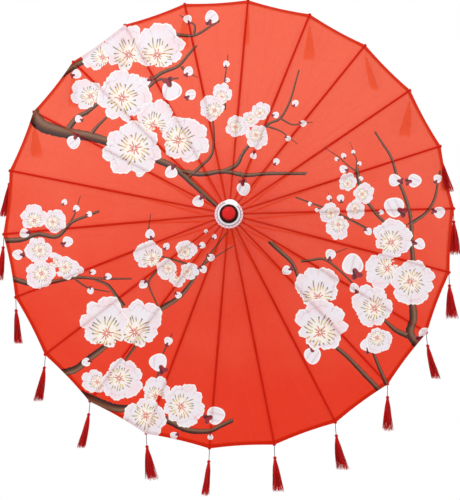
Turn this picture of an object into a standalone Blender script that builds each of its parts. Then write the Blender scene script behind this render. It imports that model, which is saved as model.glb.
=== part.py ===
"""An open parasol of cloth on bamboo ribs, with a sliding runner that folds it.

The umbrella is drawn in its own frame: z runs along the shaft from the top hub towards the handle,
z = 0 is the plane of the rib pivots, and an azimuth turns from x towards y. One empty then lays the
shaft along world Y, with the hub towards -Y, azimuth 0 towards +Z and the middle of the grip at the
world origin.
"""

import math

import bmesh
import bpy
from mathutils import Matrix, Vector

# Driving dimensions, in metres and degrees.
MM = 0.001
RIBS = 22
FIRST_RIB = 4.9
OPEN_RADIUS = 0.42
OPEN_SLOPE = 18.0
PIVOT_RADIUS = 14 * MM
MID_PIVOT = 0.19
CLOTH_GAP = 2.5 * MM
CLOTH_THICKNESS = 1.0 * MM
RIM_SCALLOP = 2 * MM
CLOTH_INSET = 2 * MM
GAP = 0.3 * MM

SHAFT_RADIUS = 6 * MM
SHAFT_FRONT = -8 * MM
SHAFT_BACK = 0.505
STUD_RADIUS = 2.5 * MM
STUD_DEPTH = 4.5 * MM

SLOT_WIDTH = 2.2 * MM
SLOT_FLOOR_RADIUS = 11 * MM
HEAD_RADIUS = 17 * MM
NECK_RADIUS = 9 * MM
WIRE_RADIUS = 0.4 * MM
WIRE_HOLE = 0.7 * MM
HUB_FRONT, HUB_BACK = -3 * MM, 5 * MM

RUNNER_HALF = 4 * MM
SLEEVE_LENGTH = 30 * MM
SLEEVE_RADIUS = 9.5 * MM

# The catch: a tongue on a pin in the shaft. Its nose stands in a keyway once the sleeve has passed over it.
TONGUE_LENGTH = 24 * MM
TONGUE_HALF_WIDTH = 1.2 * MM
TONGUE_PIN_DEPTH = 4 * MM
TONGUE_UNDER, TONGUE_OVER = 1.5 * MM, 1.4 * MM
NOSE_LENGTH = 2.8 * MM
NOSE_HEIGHT = 4.0 * MM
PIN_RADIUS = 0.8 * MM
KEYWAY_END_WALL = 4 * MM

GRIP_FRONT, GRIP_BACK = 0.440, 0.530
GRIP_CENTRE = 0.4875
GRIP_RADIUS = 11 * MM
CAP_LENGTH = 10 * MM

TASSEL_THREAD = 22 * MM
TASSEL_SKIRT = 62 * MM
THREAD_RADIUS = 0.6 * MM
HEM_CORD_RADIUS = 0.7 * MM
HEM_CORD_LIFT = -2.6 * MM
HEM_CORD_INSET = 1.0 * MM

# Sizes that follow from them.
SLOPE = math.radians(OPEN_SLOPE)
PITCH = 360 / RIBS
RIB_LENGTH = (OPEN_RADIUS - PIVOT_RADIUS) / math.cos(SLOPE)
RUNNER_PLANE = 2 * MID_PIVOT * math.sin(SLOPE)
SLEEVE_BACK = RUNNER_PLANE + RUNNER_HALF + SLEEVE_LENGTH

# Linear base colour, roughness and metallic value of each material.
MATERIALS = {
    "red_cloth": ((0.79, 0.06, 0.035), 0.75, 0.0),
    "red_thread": ((0.45, 0.01, 0.02), 0.8, 0.0),
    "bamboo": ((0.58, 0.36, 0.17), 0.55, 0.0),
    "shaft_wood": ((0.44, 0.24, 0.11), 0.45, 0.0),
    "grip_wood": ((0.10, 0.03, 0.02), 0.35, 0.0),
    "hub_wood": ((0.50, 0.30, 0.15), 0.6, 0.0),
    "dark_lacquer": ((0.045, 0.01, 0.01), 0.25, 0.0),
    "red_lacquer": ((0.62, 0.01, 0.015), 0.12, 0.0),
    "white_cloth": ((0.86, 0.80, 0.82), 0.85, 0.0),
    "steel_wire": ((0.55, 0.55, 0.55), 0.3, 1.0),
}


def clear_scene():
    for obj in list(bpy.data.objects):
        bpy.data.objects.remove(obj, do_unlink=True)


def make_material(name):
    colour, roughness, metallic = MATERIALS[name]
    material = bpy.data.materials.new(name)
    material.use_nodes = True
    shader = material.node_tree.nodes["Principled BSDF"]
    shader.inputs["Base Color"].default_value = (*colour, 1)
    shader.inputs["Roughness"].default_value = roughness
    shader.inputs["Metallic"].default_value = metallic
    material.diffuse_color = (*colour, 1)
    return material


def mesh_from(name, bm, smooth_angle=40):
    """Closes a bmesh's seams, turns its faces outwards and keeps it as a mesh, smooth except at its edges."""
    bmesh.ops.remove_doubles(bm, verts=bm.verts, dist=1e-6)
    bmesh.ops.recalc_face_normals(bm, faces=bm.faces)
    mesh = bpy.data.meshes.new(name)
    bm.to_mesh(mesh)
    bm.free()
    mesh.shade_smooth()
    mesh.set_sharp_from_angle(angle=math.radians(smooth_angle))
    return mesh


def add_piece(name, mesh, material, parent):
    obj = bpy.data.objects.new(name, mesh)
    if not mesh.materials:
        mesh.materials.append(material)
    bpy.context.collection.objects.link(obj)
    obj.parent = parent
    return obj


def add_cutter(name, mesh, parent):
    obj = bpy.data.objects.new(name, mesh)
    bpy.context.collection.objects.link(obj)
    obj.parent = parent
    obj.hide_render = True
    obj.display_type = "WIRE"
    return obj


def boolean(obj, other, operation="DIFFERENCE"):
    modifier = obj.modifiers.new(other.name, "BOOLEAN")
    modifier.operation = operation
    modifier.solver = "EXACT"
    modifier.object = other


def finished_mesh(obj):
    """The mesh of an object with its modifiers applied, for the copies that share it."""
    graph = bpy.context.evaluated_depsgraph_get()
    mesh = bpy.data.meshes.new_from_object(obj.evaluated_get(graph))
    mesh.name = obj.name
    mesh.shade_smooth()
    mesh.set_sharp_from_angle(angle=math.radians(40))
    return mesh


def azimuth(k):
    return math.radians(FIRST_RIB + PITCH * k)


def turned(name, profile, sides):
    """A (radius, z) profile turned about z, from the first rib's azimuth.

    A profile that doesn't reach the axis at both ends is closed into a ring.
    """
    bm = bmesh.new()
    x, y = math.cos(azimuth(0)), math.sin(azimuth(0))
    verts = [bm.verts.new((radius * x, radius * y, z)) for radius, z in profile]
    edges = [bm.edges.new(pair) for pair in zip(verts, verts[1:])]
    if profile[0][0] > 0 or profile[-1][0] > 0:
        edges.append(bm.edges.new((verts[-1], verts[0])))
    bmesh.ops.spin(
        bm,
        geom=verts + edges,
        cent=(0, 0, 0),
        axis=(0, 0, 1),
        angle=math.tau,
        steps=sides,
        use_merge=True,
    )
    return mesh_from(name, bm)


def add_box(bm, low, high, turn=None):
    corners = [
        Vector((x, y, z))
        for x in (low[0], high[0])
        for y in (low[1], high[1])
        for z in (low[2], high[2])
    ]
    verts = [bm.verts.new(turn @ corner if turn else corner) for corner in corners]
    for quad in ((0, 1, 3, 2), (4, 6, 7, 5), (0, 4, 5, 1), (2, 3, 7, 6), (0, 2, 6, 4), (1, 5, 7, 3)):
        bm.faces.new([verts[i] for i in quad])


def add_rod(bm, centre, radius, half_length, direction, sides=10):
    """A capped cylinder about its centre."""
    turn = Vector((0, 0, 1)).rotation_difference(Vector(direction)).to_matrix().to_4x4()
    bmesh.ops.create_cone(
        bm,
        cap_ends=True,
        segments=sides,
        radius1=radius,
        radius2=radius,
        depth=2 * half_length,
        matrix=Matrix.Translation(centre) @ turn,
    )


def rod_mesh(name, centre, radius, half_length, direction, sides=10):
    bm = bmesh.new()
    add_rod(bm, centre, radius, half_length, direction, sides)
    return mesh_from(name, bm)


def bar(bm, stations):
    """A bar along x whose section is a rectangle at each station: (x, half width, lowest z, highest z)."""
    rings = []
    for x, half, low, high in stations:
        corners = ((-half, low), (half, low), (half, high), (-half, high))
        rings.append([bm.verts.new((x, y, z)) for y, z in corners])
    for ring, after in zip(rings, rings[1:]):
        for i in range(4):
            j = (i + 1) % 4
            bm.faces.new((ring[i], ring[j], after[j], after[i]))
    bm.faces.new(rings[0][::-1])
    bm.faces.new(rings[-1])


def slot_cutter(name, low_z, high_z, parent):
    """One box for each rib, from the slots' floor to beyond the head's rim."""
    bm = bmesh.new()
    half = SLOT_WIDTH / 2
    for k in range(RIBS):
        turn = Matrix.Rotation(azimuth(k), 4, "Z")
        add_box(bm, (SLOT_FLOOR_RADIUS, -half, low_z), (HEAD_RADIUS + 3 * MM, half, high_z), turn)
    return add_cutter(name, mesh_from(name, bm), parent)


def groove_cutter(name, plane, back, parent):
    """The ring groove that a hinge wire is laid in, open towards the handle."""
    inner, outer = PIVOT_RADIUS - WIRE_HOLE, PIVOT_RADIUS + WIRE_HOLE
    profile = ((inner, plane - WIRE_HOLE), (outer, plane - WIRE_HOLE), (outer, back), (inner, back))
    return add_cutter(name, turned(name, profile, RIBS), parent)


def arm_frame(k, radius, height, slope):
    """A rib or stretcher's frame at its hinge: x along the arm, y along the hinge, z to the cloth."""
    along = Vector((math.cos(slope), 0, math.sin(slope)))
    out = Vector((math.sin(slope), 0, -math.cos(slope)))
    turn = Matrix((along, out.cross(along), out)).transposed().to_4x4()
    return Matrix.Rotation(azimuth(k), 4, "Z") @ Matrix.Translation((radius, 0, height)) @ turn


def place(obj, frame):
    obj.location = frame.to_translation()
    obj.rotation_euler = frame.to_euler()


def build_shaft(parent, material):
    bore = STUD_RADIUS + GAP
    profile = (
        (0, SHAFT_FRONT + STUD_DEPTH),
        (bore, SHAFT_FRONT + STUD_DEPTH),
        (bore, SHAFT_FRONT),
        (SHAFT_RADIUS, SHAFT_FRONT),
        (SHAFT_RADIUS, SHAFT_BACK),
        (0, SHAFT_BACK),
    )
    return add_piece("shaft", turned("shaft", profile, 24), material, parent)


def build_hub(parent, material):
    """The toothed disc that the ribs hinge in, with the neck that carries the cap and finial."""
    bore = SHAFT_RADIUS + GAP
    profile = (
        (bore, SHAFT_FRONT),
        (NECK_RADIUS, SHAFT_FRONT),
        (NECK_RADIUS, HUB_FRONT),
        (HEAD_RADIUS, HUB_FRONT),
        (HEAD_RADIUS, HUB_BACK),
        (bore, HUB_BACK),
    )
    hub = add_piece("top_hub", turned("top_hub", profile, RIBS), material, parent)
    boolean(hub, slot_cutter("hub_slots", -2.5 * MM, HUB_BACK + 2 * MM, parent))
    boolean(hub, groove_cutter("hub_groove", 0, HUB_BACK + 3 * MM, parent))
    return hub


def build_hub_pin(hub, shaft, parent, material):
    """The cross pin through the hub's core and the shaft, driven in through one of the rib slots."""
    height, radius = 2.5 * MM, 0.8 * MM
    direction = (math.cos(azimuth(0)), math.sin(azimuth(0)), 0)
    half = SLOT_FLOOR_RADIUS - 0.6 * MM
    add_piece("hub_pin", rod_mesh("hub_pin", (0, 0, height), radius, half, direction), material, parent)
    hole = rod_mesh("hub_pin_hole", (0, 0, height), radius + GAP, SLOT_FLOOR_RADIUS + MM, direction)
    cutter = add_cutter("hub_pin_hole", hole, parent)
    boolean(hub, cutter)
    boolean(shaft, cutter)


def build_wire(name, height, parent, material):
    """A ring of wire that a row of hinge eyes is threaded on."""
    points = [
        (PIVOT_RADIUS + WIRE_RADIUS * math.cos(a), height + WIRE_RADIUS * math.sin(a))
        for a in (math.tau * i / 4 for i in range(4))
    ]
    return add_piece(name, turned(name, points, RIBS), material, parent)


def build_runner(parent, material):
    """The sleeve on the shaft, with the toothed head that the stretchers hinge in.

    A keyway under its wall clears the catch's nose. It is open at the head and closed at the sleeve's end,
    so the end wall rests against the nose while the umbrella is open. Its origin is on the pivot plane.
    """
    bore = SHAFT_RADIUS + GAP
    profile = (
        (bore, -RUNNER_HALF),
        (HEAD_RADIUS, -RUNNER_HALF),
        (HEAD_RADIUS, RUNNER_HALF),
        (SLEEVE_RADIUS, RUNNER_HALF),
        (SLEEVE_RADIUS, RUNNER_HALF + SLEEVE_LENGTH - MM),
        (SLEEVE_RADIUS - MM, RUNNER_HALF + SLEEVE_LENGTH),
        (bore, RUNNER_HALF + SLEEVE_LENGTH),
    )
    runner = add_piece("runner", turned("runner", profile, RIBS), material, parent)
    runner.location.z = RUNNER_PLANE
    low, high = RUNNER_PLANE - 2 * RUNNER_HALF, RUNNER_PLANE + 2 * RUNNER_HALF
    boolean(runner, slot_cutter("runner_slots", low, high, parent))
    boolean(runner, groove_cutter("runner_groove", RUNNER_PLANE, high, parent))
    half = TONGUE_HALF_WIDTH + GAP
    top = TONGUE_PIN_DEPTH + NOSE_HEIGHT + GAP
    bm = bmesh.new()
    add_box(bm, (0, -half, low), (top, half, SLEEVE_BACK - KEYWAY_END_WALL))
    boolean(runner, add_cutter("runner_keyway", mesh_from("runner_keyway", bm), parent))
    return runner


def rib_mesh(parent):
    """A bamboo rib: an eye at the hub, a slot at the mid pivot for the stretcher's head, and a plain thin tip."""
    low, high = -1.5 * MM, 2.0 * MM
    stations = (
        (-1.9 * MM, 0.9 * MM, -0.7 * MM, 0.7 * MM),
        (-1.0 * MM, 0.9 * MM, low, 1.6 * MM),
        (8 * MM, 0.9 * MM, low, high),
        (28 * MM, 1.6 * MM, low, high),
        (MID_PIVOT - 10 * MM, 2.4 * MM, low, high),
        (MID_PIVOT + 40 * MM, 2.4 * MM, low, high),
        (MID_PIVOT + 65 * MM, 1.7 * MM, low, high),
        (RIB_LENGTH, 1.4 * MM, -0.8 * MM, 1.6 * MM),
    )
    bm = bmesh.new()
    bar(bm, stations)
    blank = add_cutter("rib", mesh_from("rib_blank", bm), parent)
    bm = bmesh.new()
    add_box(bm, (MID_PIVOT - 7 * MM, -1.3 * MM, -4 * MM), (MID_PIVOT + 36 * MM, 1.3 * MM, 4 * MM))
    tools = [add_cutter("rib_slot", mesh_from("rib_slot", bm), parent)]
    for name, x in (("rib_eye", 0), ("rib_pin_hole", MID_PIVOT)):
        hole = rod_mesh(name, (x, 0, 0), WIRE_HOLE + 0.15 * MM, 5 * MM, (0, 1, 0), 6)
        tools.append(add_cutter(name, hole, parent))
    return shared_mesh(blank, tools)


def stretcher_mesh(parent):
    """A stretcher: a head with its cross pin in the rib's slot, a slim body, and an eye for a wire."""
    low, high = -2.2 * MM, 0.6 * MM
    stations = (
        (-1.2 * MM, 1.0 * MM, -0.8 * MM, 0.7 * MM),
        (6 * MM, 1.0 * MM, -1.3 * MM, 0.9 * MM),
        (12 * MM, 1.0 * MM, low, high),
        (38 * MM, 1.0 * MM, low, high),
        (48 * MM, 1.4 * MM, low, high),
        (MID_PIVOT - 50 * MM, 1.4 * MM, low, high),
        (MID_PIVOT - 38 * MM, 0.8 * MM, low, high),
        (MID_PIVOT + 0.8 * MM, 0.8 * MM, -1.4 * MM, 1.3 * MM),
        (MID_PIVOT + 1.5 * MM, 0.8 * MM, -0.7 * MM, 0.7 * MM),
    )
    bm = bmesh.new()
    bar(bm, stations)
    blank = add_cutter("stretcher", mesh_from("stretcher_blank", bm), parent)
    pin = rod_mesh("stretcher_pin", (0, 0, 0), 0.5 * MM, 2.1 * MM, (0, 1, 0), 6)
    boolean(blank, add_cutter("stretcher_pin", pin, parent), "UNION")
    eye = rod_mesh("stretcher_eye", (MID_PIVOT, 0, 0), WIRE_HOLE + 0.15 * MM, 5 * MM, (0, 1, 0), 6)
    return shared_mesh(blank, [add_cutter("stretcher_eye", eye, parent)])


def shared_mesh(blank, tools):
    """Cuts the tools from the blank, then keeps only the finished mesh."""
    for tool in tools:
        boolean(blank, tool)
    mesh = finished_mesh(blank)
    used = [blank] + [modifier.object for modifier in blank.modifiers]
    for obj in used:
        bpy.data.objects.remove(obj, do_unlink=True)
    return mesh


def build_arms(parent, material):
    """Every rib turns about its eye on the hub's wire, and every stretcher about its pin in its own rib."""
    rib, stretcher = rib_mesh(parent), stretcher_mesh(parent)
    middle = PIVOT_RADIUS + MID_PIVOT * math.cos(SLOPE)
    for k in range(RIBS):
        place(
            add_piece(f"rib_{k + 1:02d}", rib, material, parent),
            arm_frame(k, PIVOT_RADIUS, 0, SLOPE),
        )
        place(
            add_piece(f"stretcher_{k + 1:02d}", stretcher, material, parent),
            arm_frame(k, middle, RUNNER_PLANE / 2, math.pi - SLOPE),
        )


def build_catch(shaft, parent, material):
    """The sprung tongue in the shaft's slot, whose nose stands behind the open runner.

    Its origin is on its pin.
    """
    pin_height = SLEEVE_BACK + TONGUE_LENGTH
    nose = SLEEVE_BACK + GAP - pin_height
    half, nose_half = TONGUE_HALF_WIDTH, TONGUE_HALF_WIDTH - 0.1 * MM
    bm = bmesh.new()
    add_box(bm, (-TONGUE_UNDER, -half, nose), (TONGUE_OVER, half, TONGUE_UNDER))
    tongue = add_piece("catch", mesh_from("catch", bm), material, parent)
    tongue.location = (TONGUE_PIN_DEPTH, 0, pin_height)
    bm = bmesh.new()
    add_box(bm, (0, -nose_half, nose), (NOSE_HEIGHT, nose_half, nose + NOSE_LENGTH))
    boolean(tongue, add_cutter("catch_nose", finish_at(bm, tongue), parent), "UNION")
    centre = (TONGUE_PIN_DEPTH, 0, pin_height)
    pin = rod_mesh("catch_pin", centre, PIN_RADIUS, 4 * MM, (0, 1, 0))
    boolean(tongue, add_cutter("catch_pin", pin, parent), "UNION")
    bm = bmesh.new()
    slot_low = (-0.8 * MM, -half - GAP, SLEEVE_BACK - 2 * MM)
    slot_high = (SHAFT_RADIUS + 2 * MM, half + GAP, pin_height + 3 * MM)
    add_box(bm, slot_low, slot_high)
    boolean(shaft, add_cutter("catch_slot", mesh_from("catch_slot", bm), parent))
    hole = rod_mesh("catch_pin_hole", centre, PIN_RADIUS + GAP, 8 * MM, (0, 1, 0))
    boolean(shaft, add_cutter("catch_pin_hole", hole, parent))


def finish_at(bm, obj):
    """Moves a bmesh drawn about an object's origin to where that object stands, and keeps it."""
    bmesh.ops.translate(bm, verts=bm.verts, vec=obj.location)
    return mesh_from(obj.name + "_nose", bm)


def build_hub_cap(parent, material):
    """The stiffened white cloth cap over the hub. Its skirt lies along the canopy's slope."""
    run = math.tan(SLOPE)
    cloth_top = -(CLOTH_GAP + CLOTH_THICKNESS) / math.cos(SLOPE) - 2 * GAP
    skirt_in, skirt_out = 18 * MM, 24 * MM
    skirt_z = cloth_top + (skirt_out - PIVOT_RADIUS) * run
    inside_z = min(HUB_FRONT - GAP, cloth_top + (skirt_in - PIVOT_RADIUS) * run)
    profile = (
        (NECK_RADIUS + GAP, inside_z),
        (NECK_RADIUS + GAP, SHAFT_FRONT),
        (18.5 * MM, SHAFT_FRONT),
        (20.5 * MM, SHAFT_FRONT + 1.2 * MM),
        (21.5 * MM, SHAFT_FRONT + 3.0 * MM),
        (skirt_out + 0.3 * MM, skirt_z - 1.8 * MM),
        (skirt_out, skirt_z),
        (skirt_in, inside_z),
    )
    add_piece("hub_cap", turned("hub_cap", profile, 32), material, parent)


def build_finial(parent, dark, red):
    """A dark base ring against the cap, and a red dome whose stud runs through it into the shaft."""
    base_back = SHAFT_FRONT - GAP
    base_front = base_back - 6 * MM
    hole = STUD_RADIUS + GAP
    base = (
        (hole, base_back),
        (hole, base_front),
        (13.6 * MM, base_front),
        (15.0 * MM, base_front + 1.2 * MM),
        (15.5 * MM, base_front + 3.0 * MM),
        (15.5 * MM, base_back - 1.0 * MM),
        (14.8 * MM, base_back),
    )
    add_piece("finial_base", turned("finial_base", base, 28), dark, parent)
    dome_back = base_front - GAP
    radius, height = 12.3 * MM, 9 * MM
    steps = 6
    arc = [
        (
            radius * math.cos(math.pi / 2 * i / steps),
            dome_back - 1.2 * MM - height * math.sin(math.pi / 2 * i / steps),
        )
        for i in range(steps + 1)
    ]
    arc[-1] = (0, arc[-1][1])
    stud = [
        (0, SHAFT_FRONT + STUD_DEPTH - GAP),
        (STUD_RADIUS, SHAFT_FRONT + STUD_DEPTH - GAP),
        (STUD_RADIUS, dome_back),
        (radius - 0.8 * MM, dome_back),
    ]
    add_piece("finial_dome", turned("finial_dome", stud + arc, 28), red, parent)


def build_handle(parent, wood, dark):
    swell = 1.0 * MM
    bore, rear_bore = SHAFT_RADIUS + GAP, 4.3 * MM
    steps = 8
    outside = [
        (
            GRIP_RADIUS - 1.0 * MM + (swell + MM) * math.sin(math.pi * i / steps) ** 0.6,
            GRIP_FRONT + (GRIP_BACK - GRIP_FRONT) * i / steps,
        )
        for i in range(steps + 1)
    ]
    inside = [
        (rear_bore, GRIP_BACK),
        (rear_bore, SHAFT_BACK + GAP),
        (bore, SHAFT_BACK + GAP),
        (bore, GRIP_FRONT),
    ]
    add_piece("handle_grip", turned("handle_grip", outside + inside, 24), wood, parent)
    back = GRIP_BACK + GAP
    cap = (
        (0, back - 9 * MM),
        (rear_bore - GAP, back - 9 * MM),
        (rear_bore - GAP, back),
        (GRIP_RADIUS + MM, back),
        (12.5 * MM, back + 3 * MM),
        (12.2 * MM, back + 7 * MM),
        (10 * MM, back + CAP_LENGTH),
        (0, back + CAP_LENGTH),
    )
    add_piece("handle_end_cap", turned("handle_end_cap", cap, 24), dark, parent)


def rim_point(column, columns, along, lift):
    """A point over the panels: `along` from the pivots at the ribs, `lift` above the ribs' line.

    Each panel is flat, so a point between two ribs is that share of the way between their two points.
    """
    k, share = divmod(column, columns)
    share /= columns
    sides = [
        arm_frame(i, PIVOT_RADIUS, 0, SLOPE) @ Vector((along, 0, lift)) for i in (k, k + 1)
    ]
    return sides[0].lerp(sides[1], share)


def scallop(column, columns):
    share = column % columns / columns
    return 4 * share * (1 - share)


def build_canopy(parent, material):
    """The cloth: a thin closed shell of flat panels between the ribs, open at the hub, with a hollowed rim."""
    columns = 4
    inner = (18 * MM - PIVOT_RADIUS) / math.cos(SLOPE)
    lifts = (CLOTH_GAP, CLOTH_GAP + CLOTH_THICKNESS)
    bm = bmesh.new()
    rings = []
    for column in range(RIBS * columns):
        outer = RIB_LENGTH - CLOTH_INSET - RIM_SCALLOP * scallop(column, columns)
        corners = ((inner, lifts[0]), (outer, lifts[0]), (outer, lifts[1]), (inner, lifts[1]))
        rings.append([bm.verts.new(rim_point(column, columns, x, z)) for x, z in corners])
    for ring, after in zip(rings, rings[1:] + rings[:1]):
        for i in range(4):
            j = (i + 1) % 4
            bm.faces.new((ring[i], ring[j], after[j], after[i]))
    add_piece("canopy", mesh_from("canopy", bm, 20), material, parent)


def tassel_profile():
    """Thread, knot and skirt of one tassel, as (radius, drop)."""
    knot = TASSEL_THREAD
    return (
        (0, -THREAD_RADIUS),
        (THREAD_RADIUS, -THREAD_RADIUS),
        (THREAD_RADIUS, knot),
        (3.2 * MM, knot + 2.4 * MM),
        (2.4 * MM, knot + 5.6 * MM),
        (3.6 * MM, knot + 10 * MM),
        (5.0 * MM, knot + TASSEL_SKIRT),
        (0, knot + TASSEL_SKIRT),
    )


def build_tassels(parent, material):
    """The cord sewn along the hem, which ties a tassel to every rib tip. They all hang towards world -Z."""
    columns, sides = 2, 4
    bm = bmesh.new()
    rings = []
    for column in range(RIBS * columns):
        along = RIB_LENGTH - HEM_CORD_INSET - RIM_SCALLOP * scallop(column, columns)
        ring = []
        for i in range(sides):
            a = math.tau * i / sides
            out = along + HEM_CORD_RADIUS * math.cos(a)
            lift = HEM_CORD_LIFT + HEM_CORD_RADIUS * math.sin(a)
            ring.append(bm.verts.new(rim_point(column, columns, out, lift)))
        rings.append(ring)
    for ring, after in zip(rings, rings[1:] + rings[:1]):
        for i in range(sides):
            j = (i + 1) % sides
            bm.faces.new((ring[i], ring[j], after[j], after[i]))
    cord = add_piece("tassel_ring", mesh_from("tassel_ring", bm), material, parent)
    single = turned("tassel", [(radius, -drop) for radius, drop in tassel_profile()], 6)
    down = Matrix.Rotation(math.pi / 2, 4, "Y")
    bm = bmesh.new()
    for k in range(RIBS):
        tip = rim_point(k * columns, columns, RIB_LENGTH - HEM_CORD_INSET, HEM_CORD_LIFT)
        start = len(bm.verts)
        bm.from_mesh(single)
        bm.verts.ensure_lookup_table()
        bmesh.ops.transform(bm, matrix=Matrix.Translation(tip) @ down, verts=bm.verts[start:])
    boolean(cord, add_cutter("tassels", mesh_from("tassels", bm), parent), "UNION")


def build_umbrella():
    clear_scene()
    paint = {name: make_material(name) for name in MATERIALS}
    axis = bpy.data.objects.new("umbrella_axis", None)
    bpy.context.collection.objects.link(axis)
    axis.location = (0, -GRIP_CENTRE, 0)
    axis.rotation_euler = Matrix(((0, 1, 0), (0, 0, 1), (1, 0, 0))).to_euler()
    shaft = build_shaft(axis, paint["shaft_wood"])
    hub = build_hub(axis, paint["hub_wood"])
    build_hub_pin(hub, shaft, axis, paint["steel_wire"])
    build_wire("hub_wire", 0, axis, paint["steel_wire"])
    build_runner(axis, paint["hub_wood"])
    build_wire("runner_wire", RUNNER_PLANE, axis, paint["steel_wire"])
    build_arms(axis, paint["bamboo"])
    build_catch(shaft, axis, paint["bamboo"])
    build_hub_cap(axis, paint["white_cloth"])
    build_finial(axis, paint["dark_lacquer"], paint["red_lacquer"])
    build_handle(axis, paint["grip_wood"], paint["dark_lacquer"])
    build_canopy(axis, paint["red_cloth"])
    build_tassels(axis, paint["red_thread"])


build_umbrella()
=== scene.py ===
# %% [markdown]
# # A cloth parasol on bamboo ribs, printed with blossom
#
# This lesson builds the finished look of a folding parasol: a red cloth canopy printed with plum blossom,
# stretched over 22 bamboo ribs, with a gathered white cap and a lacquered finial at its front and a tassel
# hanging from the tip of every rib. The hard parts (shaft, hubs, ribs, stretchers, catch, grip) are already
# modelled to size. Here they get their materials, and everything soft is made anew, each surface from a
# formula.
#
# The umbrella lies along Y. Its front is towards -Y, +Z is up, and the middle of the grip is at the origin.

import math

import bpy
import numpy as np
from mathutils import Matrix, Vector


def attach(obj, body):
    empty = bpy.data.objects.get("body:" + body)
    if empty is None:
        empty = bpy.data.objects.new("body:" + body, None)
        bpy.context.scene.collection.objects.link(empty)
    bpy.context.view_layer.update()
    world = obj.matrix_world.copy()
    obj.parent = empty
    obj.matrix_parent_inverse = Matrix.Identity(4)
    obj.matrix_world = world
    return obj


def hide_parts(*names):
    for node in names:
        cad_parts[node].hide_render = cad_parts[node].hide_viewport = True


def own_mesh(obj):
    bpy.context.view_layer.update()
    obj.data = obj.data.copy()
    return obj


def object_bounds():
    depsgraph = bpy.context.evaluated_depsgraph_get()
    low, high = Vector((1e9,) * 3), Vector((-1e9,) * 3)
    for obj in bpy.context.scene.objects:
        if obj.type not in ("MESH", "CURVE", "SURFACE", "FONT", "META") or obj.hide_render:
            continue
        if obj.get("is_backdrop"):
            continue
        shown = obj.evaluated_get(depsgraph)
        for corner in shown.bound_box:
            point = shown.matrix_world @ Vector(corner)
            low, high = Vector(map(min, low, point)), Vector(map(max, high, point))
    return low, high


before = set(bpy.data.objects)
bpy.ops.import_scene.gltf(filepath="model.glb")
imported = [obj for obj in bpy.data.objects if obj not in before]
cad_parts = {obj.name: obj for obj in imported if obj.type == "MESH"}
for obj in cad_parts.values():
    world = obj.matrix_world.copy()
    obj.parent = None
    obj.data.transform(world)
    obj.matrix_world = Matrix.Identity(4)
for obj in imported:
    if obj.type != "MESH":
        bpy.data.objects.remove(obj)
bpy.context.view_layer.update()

# %% [markdown]
# ## Sizes
#
# All of the soft pieces follow from the ribs, so the ribs' layout comes first. Every rib turns on a ring of
# wire 14 mm from the shaft's centre line and climbs away from the front at 18 degrees. The umbrella is 84 cm
# across its tips. An azimuth starts at the top and runs clockwise as seen from the front.

# %% Sizes, in metres
RIBS = 22
FIRST_RIB = math.radians(4.9)
PITCH = math.tau / RIBS
SLOPE = math.radians(18)
PIVOT_RADIUS = 0.014
OPEN_RADIUS = 0.42
HUB_Y = -0.4875
RIB_LENGTH = (OPEN_RADIUS - PIVOT_RADIUS) / math.cos(SLOPE)

AZIMUTHS = FIRST_RIB + PITCH * np.arange(RIBS)
Y_AXIS = np.array([0.0, 1.0, 0.0])
RADIAL = np.stack([np.sin(AZIMUTHS), 0 * AZIMUTHS, np.cos(AZIMUTHS)], axis=1)
ACROSS = np.stack([np.cos(AZIMUTHS), 0 * AZIMUTHS, -np.sin(AZIMUTHS)], axis=1)
ALONG = math.cos(SLOPE) * RADIAL + math.sin(SLOPE) * Y_AXIS
OUTWARD = math.sin(SLOPE) * RADIAL - math.cos(SLOPE) * Y_AXIS
PIVOTS = PIVOT_RADIUS * RADIAL + HUB_Y * Y_AXIS
print("a rib is", round(1000 * RIB_LENGTH), "mm long from its pivot")

# %% [markdown]
# ## Camera, floor and light
#
# The umbrella is looked at from the front and a little below, as if it lay on its side at eye height. The
# aim is 5 cm below the middle of the rim, so that the lowest tassels are in view too. A white surround and
# one big soft lamp above the front give the even light of a studio, a little brighter on the upper half.

# %% Camera, floor and light
RIM_Y = HUB_Y + RIB_LENGTH * math.sin(SLOPE)
AIM = Vector((0.002, RIM_Y, -0.053))
EYE_BELOW = math.radians(4)
EYE_DISTANCE = 2.187
LENS = 85

camera_data = bpy.data.cameras.new("camera")
camera_data.lens = LENS
camera = bpy.data.objects.new("camera", camera_data)
bpy.context.scene.collection.objects.link(camera)
back = Vector((0, -math.cos(EYE_BELOW), -math.sin(EYE_BELOW)))
camera.location = AIM + EYE_DISTANCE * back
camera.rotation_euler = (-back).to_track_quat("-Z", "Y").to_euler()
bpy.context.scene.camera = camera

world = bpy.data.worlds.new("studio")
world.use_nodes = True
world.node_tree.nodes["Background"].inputs["Color"].default_value = (1, 1, 1, 1)
bpy.context.scene.world = world
bpy.context.scene.view_settings.view_transform = "Standard"


def soft_lamp(name, place, size, watts):
    """A round lamp that shines on the middle of the umbrella from `place`."""
    lamp = bpy.data.lights.new(name, "AREA")
    lamp.shape = "DISK"
    lamp.size = size
    lamp.energy = watts
    holder = bpy.data.objects.new(name, lamp)
    holder.location = place
    holder.rotation_euler = (Vector(place) - AIM).to_track_quat("Z", "Y").to_euler()
    bpy.context.scene.collection.objects.link(holder)


soft_lamp("key", (-1.2, -2.4, 2.6), 0.9, 26)
soft_lamp("fill", (2.6, 1.6, 1.8), 2.0, 14)

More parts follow.
